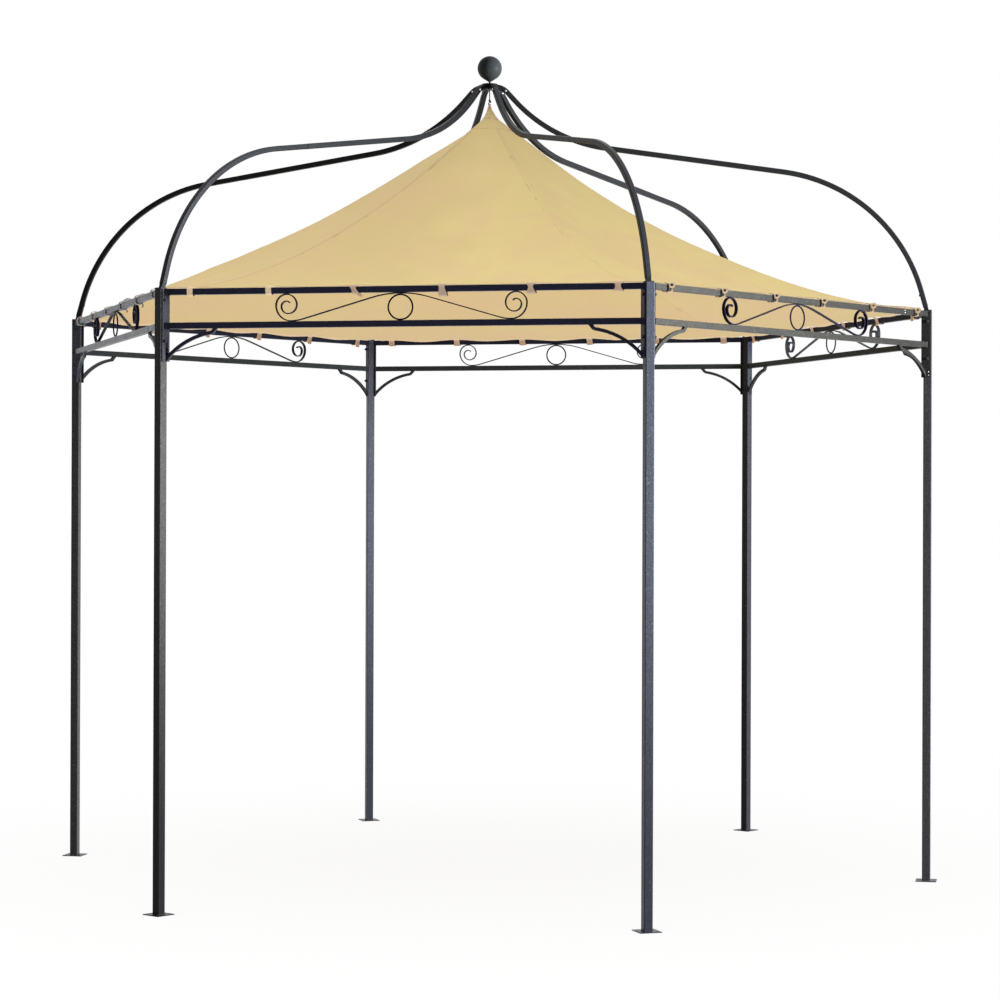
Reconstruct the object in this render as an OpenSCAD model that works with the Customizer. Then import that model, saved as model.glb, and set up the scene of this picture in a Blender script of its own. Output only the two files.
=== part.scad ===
// Six-post metal gazebo: scrollwork sides, ogee roof ribs and a hung fabric canopy.
// The origin is on the ground at the centre, +Z is up and post 1 stands on +X.

/* [Overall] */
// Distance from the centre to the middle of each post
post_ring_r = 1750; // [1400:10:2200]
// Height of the post tubes
post_h = 2225; // [2000:5:2600]

/* [Posts] */
// Outer width of the square posts
post_w = 32; // [26:1:45]
// Wall of the post tube
post_wall = 1.5; // [1:0.1:2.5]
// Outer corner radius of the post tube
post_corner_r = 2.5; // [1:0.5:4]
// Width of the square foot plates
foot_w = 80; // [70:1:120]
// Thickness of the foot plates
foot_t = 3; // [2:0.5:8]
// Spacing of the holes in a foot plate
foot_hole_pitch = 55; // [50:1:60]
// Diameter of the holes in a foot plate
foot_hole_d = 10; // [6:0.5:12]
// Thickness of the cap plates on the posts
cap_t = 2; // [1.5:0.5:5]
// Depth of the plug under each cap plate
plug_h = 10; // [6:1:25]

/* [Side frames] */
// Outer width of the square rails
rail_w = 22; // [16:1:25]
// Wall of the rail tube
rail_wall = 1.2; // [1:0.1:2]
// Outer corner radius of the rail tube
rail_corner_r = 1.5; // [1:0.5:3]
// Distance from the post top down to the top of the upper rail
rail_drop = 3; // [1:1:20]
// Clear height between the two rails
rail_gap = 98; // [90:1:140]
// Thickness of the flat end bars against the posts
end_bar_t = 4; // [3:0.5:6]
// Width of the end bars
end_bar_w = 34; // [30:1:44]
// How far the end bars stand out past the posts' inner faces
end_bar_overhang = 8; // [6:1:12]
// How far the end bars reach below the lower rail
end_bar_drop = 116; // [90:1:150]
// Diameter of the bolts through bars and posts
bolt_d = 6; // [5:1:8]
// Distance from the top of the end bars to the upper bolt
upper_bolt_drop = 40; // [30:1:60]
// Distance between the two bolts
bolt_pitch = 146; // [120:1:160]

/* [Corner braces] */
// Width of the square brace bars
brace_w = 12; // [8:1:14]
// Radius of the brace curve
brace_r = 271; // [240:1:300]
// Slope of the brace where it leaves the end bar
brace_foot_slope = 50; // [44:1:54]
// Slope of the brace where its curve ends
brace_tip_slope = 8; // [4:1:12]
// Distance from the post's centre to the end of the curve
brace_reach = 190; // [185:1:200]
// Distance from the lower rail down to the end of the curve
brace_tip_drop = 14; // [10:1:20]
// How far the short end of the brace runs along the rail
brace_stub_run = 12; // [8:1:20]

/* [Scrollwork] */
// Thickness of the scroll strip
strip_t = 4; // [3:0.5:6]
// Depth of the scroll strip
strip_w = 12; // [8:1:16]
// Radius of the arch's crown
crown_r = 362; // [300:1:420]
// Slope of the arch's flanks
flank_slope = 16.2; // [14:0.1:22]
// Radius where the arch meets the lower rail
arch_foot_r = 150; // [100:1:200]
// Radius of the first quarter turn of the spirals
spiral_r1 = 55; // [50:1:60]
// Radius of the third quarter turn of the spirals
spiral_r3 = 37; // [34:1:40]
// How much tighter each further turn is
spiral_step = 6; // [4:0.5:7]
// Diameter of the round bar of the ring
ring_bar_d = 6; // [4:1:8]

/* [Roof ribs] */
// Outer width of the square ribs
rib_w = 20; // [18:1:24]
// Wall of the rib tube
rib_wall = 1.5; // [1:0.1:2]
// Lean of the ribs from upright at the posts
rib_lean = 15.6; // [10:0.1:20]
// Distance from the post's centre in to the rib's axis at the cap
rib_inset = 5; // [2:0.5:6]
// Straight length at the foot of a rib
rib_foot_straight = 75; // [60:1:120]
// Length of bare spigot between cap and rib
rib_foot_gap = 13; // [8:1:25]
// Radius of the shoulder bend
shoulder_r = 665; // [560:5:700]
// Slope of the long straight part
roof_slope = 8.8; // [6:0.1:14]
// Distance from the shoulder bend to the joint between the two tubes
rib_joint_run = 155; // [80:5:300]
// Length of the reduced end of the lower tube
swage_l = 60; // [30:5:100]
// Length over which the lower tube narrows to its reduced end
swage_neck = 4; // [2:1:10]
// Radius of the upward sweep
sweep_r = 639; // [500:1:750]
// Slope at the end of the upward sweep
steep_slope = 47.7; // [40:0.1:55]
// Straight length above the sweep
steep_straight = 46; // [20:1:80]
// Radius of the last bend at the hub
top_bend_r = 65; // [50:1:90]
// Level length at the hub
top_straight = 6; // [3:1:20]

/* [Hub and ball] */
// Radius of the boss that the ribs end on
boss_r = 18; // [18:0.5:30]
// Diameter of the disc above the ribs
disc_d = 64; // [56:1:90]
// Thickness of the disc
disc_t = 3; // [2:0.5:6]
// Diameter of the ball
ball_d = 98; // [80:1:120]
// Wall of the ball
ball_wall = 1.5; // [1:0.5:3]
// Diameter of the cone under the ball where it meets the ball
cone_d = 46; // [30:1:60]
// How far the cone reaches below the ball
cone_drop = 5; // [3:0.5:20]
// Diameter of the cone's flat end
cone_tip_d = 12; // [10:0.5:20]
// Diameter of the shoulder that carries the ball
neck_d = 8; // [7:0.5:10]
// Height of the shoulder above the disc
neck_h = 9.5; // [4:0.5:30]
// Length of the thread above the shoulder
stud_l = 10; // [6:1:20]
// Diameter of the hook's bar
hook_bar_d = 4; // [3:0.5:6]
// Radius of the hook's loops at the middle of the bar
hook_loop_r = 4.5; // [4:0.5:10]

/* [Canopy] */
// Distance from the centre to the canopy's corners
canopy_corner_r = 1715; // [1300:5:2165]
// Rise of the canopy's hips from hem to centre
canopy_rise = 815; // [600:5:830]
// How hollow the hips are, 1 is straight
canopy_power = 1.62; // [1.2:0.02:2]
// Height of the gathered tip
tip_rise = 27; // [20:1:50]
// Radius of the gathered tip at its foot
tip_r = 30; // [20:1:50]
// How far the panels sag between the hips
panel_sag = 14; // [0:1:40]
// Thickness of the canopy's solid
canopy_t = 3; // [2:0.5:5]

/* [Straps] */
// Width of the straps
strap_w = 28; // [20:1:40]
// Thickness of the straps
strap_t = 1.6; // [1:0.1:3]
// Spacing of the straps along a side
strap_pitch = 308; // [240:1:340]
// Height of the hem above the upper rail
strap_rise = 4; // [2:0.5:10]
// Slack of a strap on the rail's inner face
strap_slack = 2; // [1:0.5:5]

/* [Clearances] */
// Gap between two pieces that are bolted, hung or rested together
seat_gap = 0.2; // [0.1:0.05:0.3]
// Gap all round between a spigot and its tube
slide_gap = 0.25; // [0.15:0.05:0.4]
// How much wider a bolt hole is than its bolt
bolt_play = 0.5; // [0.2:0.1:1]

/* [Hidden] */
$fn = 96;

sides = 6;
sector = 360 / sides;
frame_color = "#34383c";
fabric_color = "#d9c18e";
hook_color = "#1c1c1c";

// A cut reaches this far past the faces that it goes through.
cut = 1;
// A bend is drawn in flats that leave the true curve by no more than this.
bend_tolerance = 0.15;

// A bent bar follows stations [x, y, heading] along its middle, from straight runs and from turns.
// A turn's angle is positive to the left and negative to the right.
function run(s, l) = [s[0] + l * cos(s[2]), s[1] + l * sin(s[2]), s[2]];
function turn(s, r, a) = [
    s[0] + sign(a) * r * (sin(s[2] + a) - sin(s[2])),
    s[1] - sign(a) * r * (cos(s[2] + a) - cos(s[2])),
    s[2] + a
];
function flats(r, a) = ceil(abs(a) / (2 * acos(1 - bend_tolerance / r)));
function turn_stations(s, r, a) = let (n = flats(r, a)) [for (i = [0:n]) turn(s, r, a * i / n)];
function beside(s, d) = [s[0] - d * sin(s[2]), s[1] + d * cos(s[2])];
function bar_outline(path, w) = concat(
    [for (s = path) beside(s, w / 2)],
    [for (i = [len(path) - 1:-1:0]) beside(path[i], -w / 2)]
);

// Each side runs straight from post centre to post centre.
side_l = 2 * post_ring_r * sin(sector / 2);
side_mid_r = post_ring_r * cos(sector / 2);

rail_top = post_h - rail_drop;
upper_rail_z = rail_top - rail_w / 2;
lower_rail_z = upper_rail_z - rail_gap - rail_w;
lower_rail_top = lower_rail_z + rail_w / 2;
lower_rail_bottom = lower_rail_z - rail_w / 2;

end_bar_h = rail_top - lower_rail_bottom + end_bar_drop;
end_bar_bottom = rail_top - end_bar_h;
bolt_heights = [rail_top - upper_bolt_drop, rail_top - upper_bolt_drop - bolt_pitch];
bolt_hole_d = bolt_d + bolt_play;

// The end bars lie against the posts' side faces, so the rails end on this plane in a post's frame.
rail_end = post_w / 2 + seat_gap + end_bar_t;

// The scroll strip fills the gap between the rails, measured at the middle of its thickness.
strip_rise = rail_gap - strip_t - 2 * seat_gap;
flank_l = (strip_rise - (crown_r + arch_foot_r) * (1 - cos(flank_slope))) / sin(flank_slope);
arch_half_l = (crown_r + arch_foot_r) * sin(flank_slope) + flank_l * cos(flank_slope);
spiral_r2 = strip_rise - spiral_r1;
spiral_radii = concat([spiral_r1, spiral_r2], [for (i = [0:4]) spiral_r3 - i * spiral_step]);
spiral_turns = [for (i = [0:6]) i < 6 ? 90 : 60];
ring_d = strip_rise - seat_gap;

// A rib is drawn in its radial plane, with X as the distance from the axis, from the cap to the hub.
rib_foot = [post_ring_r - rib_inset, post_h + cap_t, 90 + rib_lean];
shoulder_start = run(rib_foot, rib_foot_straight);
shoulder_turn = 90 - rib_lean - roof_slope;
shoulder_end = turn(shoulder_start, shoulder_r, shoulder_turn);
sweep_turn = roof_slope - steep_slope;
// The long straight part takes up what the bends leave between shoulder and hub.
rib_end_r = boss_r + seat_gap;
rib_top_run = top_straight + top_bend_r * sin(steep_slope) + steep_straight * cos(steep_slope)
    + sweep_r * (sin(steep_slope) - sin(roof_slope));
roof_straight = (shoulder_end[0] - rib_end_r - rib_top_run) / cos(roof_slope);
rib_joint = run(shoulder_end, rib_joint_run);
sweep_start = run(shoulder_end, roof_straight);
sweep_end = turn(sweep_start, sweep_r, sweep_turn);
top_bend_start = run(sweep_end, steep_straight);
top_bend_end = turn(top_bend_start, top_bend_r, steep_slope);
rib_tip = run(top_bend_end, top_straight);
hub_z = rib_tip[1];
spigot_w = rib_w - 2 * rib_wall - 2 * slide_gap;

boss_h = rib_w;
disc_z = hub_z + rib_w / 2 + seat_gap;
stud_d = bolt_d;
cone_join_z = -sqrt(pow(ball_d / 2, 2) - pow(cone_d / 2, 2));
cone_tip_z = -ball_d / 2 - cone_drop;
ball_z = disc_z + disc_t + neck_h + seat_gap - cone_tip_z;

hem_z = rail_top + strap_rise;
tip_top_z = hem_z + canopy_rise + tip_rise + canopy_t;
hem_mid_r = canopy_corner_r * cos(sector / 2);

module in_post_frame(k) {
    rotate([0, 0, sector * (k - 1)]) translate([post_ring_r, 0, 0]) children();
}

// On a side, X points outwards and Y runs along the rails.
module in_side_frame(k) {
    rotate([0, 0, sector * (k - 0.5)]) translate([side_mid_r, 0, 0]) children();
}

module in_rib_plane(k) {
    rotate([0, 0, sector * (k - 1)]) rotate([90, 0, 0]) children();
}

// Both ends of a side, each in its post's frame with the side on -Y.
module at_side_ends() {
    for (m = [0, 1])
        mirror([0, m, 0]) translate([0, side_l / 2, 0]) rotate([0, 0, sector / 2]) children();
}

module rounded_square(w, r) {
    square([w - 2 * r, w], center = true);
    square([w, w - 2 * r], center = true);
    for (x = [-1, 1])
        for (y = [-1, 1])
            translate([x, y] * (w / 2 - r)) circle(r);
}

module post(k) {
    color(frame_color) in_post_frame(k) {
        difference() {
            union() {
                linear_extrude(post_h) rounded_square(post_w, post_corner_r);
                translate([-foot_w / 2, -foot_w / 2, 0]) cube([foot_w, foot_w, foot_t]);
            }
            translate([0, 0, foot_t])
                linear_extrude(post_h) square(post_w - 2 * post_wall, center = true);
            for (z = bolt_heights)
                translate([0, 0, z]) rotate([90, 0, 0])
                    cylinder(d = bolt_hole_d, h = post_w + 2 * cut, center = true);
            for (x = [-1, 1])
                for (y = [-1, 1])
                    translate([x * foot_hole_pitch / 2, y * foot_hole_pitch / 2, -cut])
                        cylinder(d = foot_hole_d, h = foot_t + 2 * cut);
        }
    }
}

// A cap closes the post and carries the leaning spigot that the rib slides on to.
module post_caps() {
    plug_w = post_w - 2 * post_wall - 2 * slide_gap;
    color(frame_color) for (k = [1:sides]) {
        in_post_frame(k) {
            translate([0, 0, post_h]) linear_extrude(cap_t) rounded_square(post_w, post_corner_r);
            translate([0, 0, post_h - plug_h]) linear_extrude(plug_h) square(plug_w, center = true);
        }
        in_rib_plane(k)
            bar([run(rib_foot, -cap_t), run(rib_foot, rib_foot_straight - cut)], spigot_w, spigot_w);
    }
}

module rail(z) {
    translate([0, 0, z]) rotate([90, 0, 0]) linear_extrude(side_l, center = true) difference() {
        rounded_square(rail_w, rail_corner_r);
        square(rail_w - 2 * rail_wall, center = true);
    }
}

// The curved bar below the lower rail, drawn with the post's centre at X = 0 and cut off at the rail.
module brace() {
    tip = [brace_reach, lower_rail_bottom - brace_tip_drop, 180 + brace_tip_slope];
    curve = turn_stations(tip, brace_r, brace_foot_slope - brace_tip_slope);
    stub = [brace_reach, tip[1], atan2(brace_tip_drop, brace_stub_run)];
    linear_extrude(brace_w, center = true) difference() {
        union() {
            polygon(bar_outline(concat(curve, [run(curve[len(curve) - 1], brace_w)]), brace_w));
            polygon(bar_outline([stub, run(stub, brace_reach)], brace_w));
        }
        translate([0, lower_rail_bottom + rail_wall / 2]) square(2 * brace_reach);
    }
}

module side_frame(k) {
    color(frame_color) in_side_frame(k) {
        difference() {
            union() {
                rail(upper_rail_z);
                rail(lower_rail_z);
                for (m = [0, 1])
                    mirror([0, m, 0]) translate([0, side_l / 2, 0]) rotate([90, 0, -90]) brace();
            }
            at_side_ends() translate([-post_w * 2, -rail_end, end_bar_bottom - end_bar_h])
                cube([post_w * 4, post_w * 4, 3 * end_bar_h]);
        }
        at_side_ends() difference() {
            translate([-post_w / 2 - end_bar_overhang, -rail_end, end_bar_bottom])
                cube([end_bar_w, end_bar_t, end_bar_h]);
            for (z = bolt_heights)
                translate([0, -rail_end - cut, z]) rotate([-90, 0, 0])
                    cylinder(d = bolt_hole_d, h = end_bar_t + 2 * cut);
        }
    }
}

module bar(path, w, depth) {
    linear_extrude(depth, center = true) polygon(bar_outline(path, w));
}

// A path with its two ends moved out.
function longer(path, l) = concat([run(path[0], -l)], path, [run(path[len(path) - 1], l)]);

shoulder_bend = turn_stations(shoulder_start, shoulder_r, shoulder_turn);
sweep_bend = turn_stations(sweep_start, sweep_r, sweep_turn);
top_bend = turn_stations(top_bend_start, top_bend_r, steep_slope);

// The lower tube ends in a reduced length that slides into the upper tube.
module rib_lower(k) {
    foot = run(rib_foot, rib_foot_gap);
    neck = run(rib_joint, -swage_neck);
    swage = [neck, run(rib_joint, swage_l)];
    color(frame_color) in_rib_plane(k) difference() {
        union() {
            bar(concat([foot], shoulder_bend, [rib_joint]), rib_w, rib_w);
            bar(swage, spigot_w, spigot_w);
        }
        bar(concat([run(foot, -cut)], shoulder_bend, [neck]), rib_w - 2 * rib_wall, rib_w - 2 * rib_wall);
        bar(longer(swage, cut), spigot_w - 2 * rib_wall, spigot_w - 2 * rib_wall);
    }
}

module rib_upper(k) {
    path = concat([run(rib_joint, seat_gap)], sweep_bend, top_bend, [rib_tip]);
    color(frame_color) in_rib_plane(k) difference() {
        bar(path, rib_w, rib_w);
        bar(longer(path, cut), rib_w - 2 * rib_wall, rib_w - 2 * rib_wall);
    }
}

// The strip is drawn from the crown of the arch to the end of a spiral, and mirrored.
arch = concat(
    turn_stations([0, strip_rise, 0], crown_r, -flank_slope),
    turn_stations([arch_half_l - arch_foot_r * sin(flank_slope), arch_foot_r * (1 - cos(flank_slope)), -flank_slope],
        arch_foot_r, flank_slope)
);
function spiral(s, i = 0) = i == len(spiral_radii) ? []
    : concat(turn_stations(s, spiral_radii[i], spiral_turns[i]),
        spiral(turn(s, spiral_radii[i], spiral_turns[i]), i + 1));
half_strip = concat(arch, spiral([arch_half_l, 0, 0]));

module scroll(k) {
    whole_strip = concat(
        [for (i = [len(half_strip) - 1:-1:1]) let (s = half_strip[i]) [-s[0], s[1], -s[2]]],
        half_strip
    );
    color(frame_color) in_side_frame(k)
        translate([0, 0, lower_rail_top + seat_gap + strip_t / 2]) rotate([90, 0, 90]) {
            bar(whole_strip, strip_t, strip_w);
            translate([0, (ring_d - strip_t) / 2, 0])
                rotate_extrude() translate([(ring_d - ring_bar_d) / 2, 0]) circle(d = ring_bar_d);
        }
}

module hub() {
    color(frame_color) {
        translate([0, 0, hub_z - boss_h / 2]) cylinder(r = boss_r, h = disc_z - hub_z + boss_h / 2);
        translate([0, 0, disc_z]) cylinder(d = disc_d, h = disc_t);
        translate([0, 0, disc_z + disc_t]) cylinder(d = neck_d, h = neck_h);
        translate([0, 0, disc_z + disc_t]) cylinder(d = stud_d, h = neck_h + stud_l);
    }
}

// A hollow ball that ends below in a cone, drilled for the hub's stud.
module ball() {
    color(frame_color) translate([0, 0, ball_z]) difference() {
        union() {
            sphere(d = ball_d);
            translate([0, 0, cone_tip_z]) cylinder(d1 = cone_tip_d, d2 = cone_d, h = cone_join_z - cone_tip_z);
        }
        sphere(d = ball_d - 2 * ball_wall);
        translate([0, 0, cone_tip_z - cut]) cylinder(d = stud_d + bolt_play, h = ball_d / 2);
    }
}

// An eye under the hub and an open S hook that hangs in it.
module hook() {
    lower_loop_z = tip_top_z + seat_gap + hook_loop_r + hook_bar_d / 2;
    upper_loop_z = lower_loop_z + 2 * hook_loop_r;
    eye_z = upper_loop_z + 2 * hook_loop_r - hook_bar_d - seat_gap;
    eye_top = eye_z + hook_loop_r;
    color(hook_color) {
        translate([0, 0, eye_z]) rotate([90, 0, 90]) hook_loop(0, 360);
        translate([0, 0, eye_top]) cylinder(d = hook_bar_d, h = hub_z - boss_h / 2 - seat_gap - eye_top);
        translate([0, 0, upper_loop_z]) rotate([90, 0, 0]) hook_loop(-90, 250);
        translate([0, 0, lower_loop_z]) rotate([90, 0, 0]) hook_loop(90, 250);
    }
}

module hook_loop(from, sweep) {
    rotate([0, 0, from]) rotate_extrude(angle = sweep) translate([hook_loop_r, 0]) circle(d = hook_bar_d);
}

// The canopy is a shell of rings. Its hips fall in a hollow curve and its panels sag between them.
canopy_rings = 16;
canopy_steps = 4;
ring_points = sides * canopy_steps;
function ring_r(i) = i < 3 ? tip_r * (i + 0.2) / 3
    : tip_r + (canopy_corner_r - tip_r) * pow((i - 3) / (canopy_rings - 3), 1.15);
function hip_z(r) = hem_z + canopy_rise * pow(1 - r / canopy_corner_r, canopy_power)
    + tip_rise * max(0, 1 - r / tip_r);
function panel_z(r, f) = hip_z(r) - panel_sag * 4 * f * (1 - f) * sin(180 * r / canopy_corner_r);
function ring_point(i, j) = let (
    r = ring_r(i),
    s = floor(j / canopy_steps),
    f = (j % canopy_steps) / canopy_steps,
    a = r * [cos(sector * s), sin(sector * s)],
    b = r * [cos(sector * (s + 1)), sin(sector * (s + 1))],
    p = a + (b - a) * f
) [p[0], p[1], panel_z(r, f)];

module canopy() {
    under = [for (i = [0:canopy_rings]) for (j = [0:ring_points - 1]) ring_point(i, j)];
    points = concat(under, [for (p = under) p + [0, 0, canopy_t]]);
    top = len(under);
    n = ring_points;
    last = canopy_rings * n;
    faces = concat(
        [[for (j = [0:n - 1]) j]],
        [[for (j = [0:n - 1]) top + n - 1 - j]],
        [for (i = [0:canopy_rings - 1]) for (j = [0:n - 1]) let (a = i * n + j, b = i * n + (j + 1) % n)
            [a, a + n, b + n, b]],
        [for (i = [0:canopy_rings - 1]) for (j = [0:n - 1]) let (a = i * n + j, b = i * n + (j + 1) % n)
            [top + a, top + b, top + b + n, top + a + n]],
        [for (j = [0:n - 1]) let (a = last + j, b = last + (j + 1) % n) [a, top + a, top + b, b]]
    );
    color(fabric_color) polyhedron(points, faces, convexity = 6);
}

// A strap is a loose loop round the upper rail that ends against the hem.
module strap() {
    loop_in = -rail_w / 2 - strap_slack - strap_t;
    loop_out = rail_w / 2 + seat_gap + strap_t;
    loop_low = rail_top - rail_w - seat_gap - strap_t;
    loop_high = hem_z + strap_t;
    hem_x = hem_mid_r - side_mid_r + seat_gap;
    rotate([90, 0, 0]) linear_extrude(strap_w, center = true) difference() {
        union() {
            translate([loop_in, loop_low]) square([loop_out - loop_in, loop_high - loop_low]);
            translate([hem_x, hem_z]) square([-hem_x, strap_t]);
        }
        translate([loop_in + strap_t, loop_low + strap_t])
            square([loop_out - loop_in - 2 * strap_t, loop_high - loop_low - 2 * strap_t]);
    }
}

module straps(k) {
    color(fabric_color) in_side_frame(k)
        for (i = [-2.5:2.5]) translate([0, i * strap_pitch, 0]) strap();
}

post(1);  // post_1
post(2);  // post_2
post(3);  // post_3
post(4);  // post_4
post(5);  // post_5
post(6);  // post_6
post_caps();
side_frame(1);  // side_frame_1
side_frame(2);  // side_frame_2
side_frame(3);  // side_frame_3
side_frame(4);  // side_frame_4
side_frame(5);  // side_frame_5
side_frame(6);  // side_frame_6
scroll(1);  // scroll_1
scroll(2);  // scroll_2
scroll(3);  // scroll_3
scroll(4);  // scroll_4
scroll(5);  // scroll_5
scroll(6);  // scroll_6
rib_lower(1);  // rib_lower_1
rib_lower(2);  // rib_lower_2
rib_lower(3);  // rib_lower_3
rib_lower(4);  // rib_lower_4
rib_lower(5);  // rib_lower_5
rib_lower(6);  // rib_lower_6
rib_upper(1);  // rib_upper_1
rib_upper(2);  // rib_upper_2
rib_upper(3);  // rib_upper_3
rib_upper(4);  // rib_upper_4
rib_upper(5);  // rib_upper_5
rib_upper(6);  // rib_upper_6
straps(1);  // straps_1
straps(2);  // straps_2
straps(3);  // straps_3
straps(4);  // straps_4
straps(5);  // straps_5
straps(6);  // straps_6
hub();
ball();
hook();
canopy();
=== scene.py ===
# %% [markdown]
# # A metal gazebo, dressed
# The CAD model is the fixed frame of this scene: steel posts, rails, scrolls, hub and ball.
# This notebook lights it, gives the steel its powder coat, and makes what the CAD only blocks in:
# the bent roof tubes, the hung canopy with its seams, the straps, and the screws and welds.

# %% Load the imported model
import random
from math import atan2, ceil, cos, degrees, exp, hypot, pi, radians, sin

import bmesh
import bpy
from mathutils import Matrix, Vector, noise


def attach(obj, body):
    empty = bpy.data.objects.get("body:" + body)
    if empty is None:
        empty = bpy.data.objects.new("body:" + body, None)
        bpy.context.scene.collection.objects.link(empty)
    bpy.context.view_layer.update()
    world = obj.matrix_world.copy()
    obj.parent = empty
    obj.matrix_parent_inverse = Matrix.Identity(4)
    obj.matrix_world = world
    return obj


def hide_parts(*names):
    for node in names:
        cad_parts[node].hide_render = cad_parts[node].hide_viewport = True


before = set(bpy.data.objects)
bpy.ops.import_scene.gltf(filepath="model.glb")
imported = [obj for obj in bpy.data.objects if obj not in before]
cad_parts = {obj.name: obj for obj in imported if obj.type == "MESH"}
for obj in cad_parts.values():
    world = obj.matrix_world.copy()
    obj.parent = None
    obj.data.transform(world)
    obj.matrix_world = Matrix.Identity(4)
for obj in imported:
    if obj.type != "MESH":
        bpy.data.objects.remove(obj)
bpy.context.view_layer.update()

# %% [markdown]
# ## The camera and the lights
# The photograph was taken from about 11 m away with a long lens, at the height of a person's chest,
# so the posts stay upright and the canopy is seen a little from below. The camera has no shift.
# The light is that of a bright studio. A round softbox on the right lights the steel alone, so that
# its dark coat shows which way each face looks. A wide sky, almost overhead, lights the top of the
# cloth, and a glow from the ground, without shadows, lights its underside. Light linking keeps steel
# and cloth apart, so that each can be matched to the photograph on its own. The world gives little
# light to surfaces, and plain white to the camera and to reflections.

# %% Camera
CAMERA_AT = (2.24983, -10.81328, 1.44754)
CAMERA_PAN, CAMERA_TILT, CAMERA_ROLL = 11.508, 0.172, 0.193
LENS_MM = 98.66

camera = bpy.data.objects.new("camera", bpy.data.cameras.new("camera"))
bpy.context.scene.collection.objects.link(camera)
bpy.context.scene.camera = camera
camera.data.lens = LENS_MM
camera.data.clip_end = 100
camera.location = CAMERA_AT
camera.rotation_euler = (
    Matrix.Rotation(radians(CAMERA_PAN), 3, "Z")
    @ Matrix.Rotation(radians(90 + CAMERA_TILT), 3, "X")
    @ Matrix.Rotation(radians(CAMERA_ROLL), 3, "Z")
).to_euler()
bpy.context.scene.view_settings.view_transform = "Standard"
print("camera", [round(degrees(a), 3) for a in camera.rotation_euler])

# %% [markdown]
# ## Two helpers for materials
# Every finish below is a tree of nodes. Blender's sockets take linear colours, while a colour given
# here is an sRGB hex value, so one function turns one into the other. The other adds any node with
# its settings and links in one line, which keeps a finish short enough to read as a recipe.

# %% Helpers for colours and nodes
def linear(hex_colour):
    """An sRGB hex colour as the linear colour that Blender's sockets take."""
    parts = [int(hex_colour[i:i + 2], 16) / 255 for i in (1, 3, 5)]
    return [p / 12.92 if p <= 0.04045 else ((p + 0.055) / 1.055) ** 2.4 for p in parts] + [1.0]


def node(tree, kind, sockets=None, **settings):
    """Adds a node, sets its settings, and gives each named or numbered socket a value or a link."""
    made = tree.nodes.new(kind)
    for name, value in settings.items():
        setattr(made, name, value)
    for name, value in (sockets or {}).items():
        if isinstance(value, bpy.types.NodeSocket):
            tree.links.new(value, made.inputs[name])
        else:
            made.inputs[name].default_value = value
    return made


# %% World and lamps
WORLD_LIGHT = 0.06
SOFTBOX_AT, SOFTBOX_AIM = (9.0, -1.4, 2.6), (0.0, 0.0, 1.4)
SOFTBOX_SIZE, SOFTBOX_POWER = 2.4, 2200
SUNS = {
    # name: energy, azimuth, elevation and spread in degrees, colour
    "high_sky": (3.03, -78, 79, 90, "#FFFFFF"),
    "ground_glow": (5.12, -80, -72, 90, "#F4F2FF"),
}

world = bpy.data.worlds.new("daylight")
bpy.context.scene.world = world
world.use_nodes = True
tree = world.node_tree
tree.nodes.clear()


def background_rays(tree):
    """One for camera, glossy and transmission rays, which see the background as plain white."""
    ray = node(tree, "ShaderNodeLightPath")
    seen = node(tree, "ShaderNodeMath",
                {0: ray.outputs["Is Camera Ray"], 1: ray.outputs["Is Glossy Ray"]}, operation="MAXIMUM")
    return node(tree, "ShaderNodeMath", {0: seen.outputs[0], 1: ray.outputs["Is Transmission Ray"]},
                operation="MAXIMUM").outputs[0]


strength = node(tree, "ShaderNodeMapRange", {0: background_rays(tree), 3: WORLD_LIGHT, 4: 1.0})
sky = node(tree, "ShaderNodeBackground", {"Color": (1, 1, 1, 1), "Strength": strength.outputs[0]})
node(tree, "ShaderNodeOutputWorld", {"Surface": sky.outputs[0]})

lit_by = {
    "steel": bpy.data.collections.new("lit_by_softbox"),
    "cloth": bpy.data.collections.new("lit_by_sky"),
}
under_the_roof = bpy.data.collections.new("casts_sky_shadows")


def add_lamp(name, light, energy, towards, what):
    """A lamp that shines from the given direction or place on one collection only."""
    light.energy = energy
    lamp = bpy.data.objects.new(name, light)
    bpy.context.scene.collection.objects.link(lamp)
    lamp.light_linking.receiver_collection = lit_by[what]
    lamp.rotation_euler = towards.to_track_quat("Z", "Y").to_euler()
    return lamp


for name, (energy, azimuth, elevation, spread, colour) in SUNS.items():
    light = bpy.data.lights.new(name, "SUN")
    light.angle = radians(spread)
    light.color = linear(colour)[:3]
    light.use_shadow = elevation > 0
    pan, tilt = radians(azimuth), radians(elevation)
    towards = Vector((cos(tilt) * cos(pan), cos(tilt) * sin(pan), sin(tilt)))
    lamp = add_lamp(name, light, energy, towards, "cloth")
    if light.use_shadow:
        lamp.light_linking.blocker_collection = under_the_roof

light = bpy.data.lights.new("softbox", "AREA")
light.shape = "DISK"
light.size = SOFTBOX_SIZE
softbox = add_lamp("softbox", light, SOFTBOX_POWER, Vector(SOFTBOX_AT) - Vector(SOFTBOX_AIM), "steel")
softbox.location = SOFTBOX_AT
softbox.visible_camera = False


def place_in_light(piece, lit, over_cloth=False):
    """Says which lamps light a piece, and that it shades the cloth and the floor unless it is over them."""
    lit_by[lit].objects.link(piece)
    if not over_cloth:
        under_the_roof.objects.link(piece)


print("lamps", ["softbox", *SUNS])

# %% [markdown]
# ## The floor
# A pale studio floor. Part of what the camera sees of it is plain white, as the photograph's ground
# is, and the rest is a matt paint that takes the object's shadow. The white makes up for what the
# paint lacks, so that the open floor is just white. Light gets the paint alone, which throws a weak
# bounce up at the steel.

# %% Floor
FLOOR_R = 30.0
FLOOR_PAINT = 0.22
PAINT_SHARE = 0.48
# the light that the paint sends back in the open, against white
PAINT_LIGHT = 0.221
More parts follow.
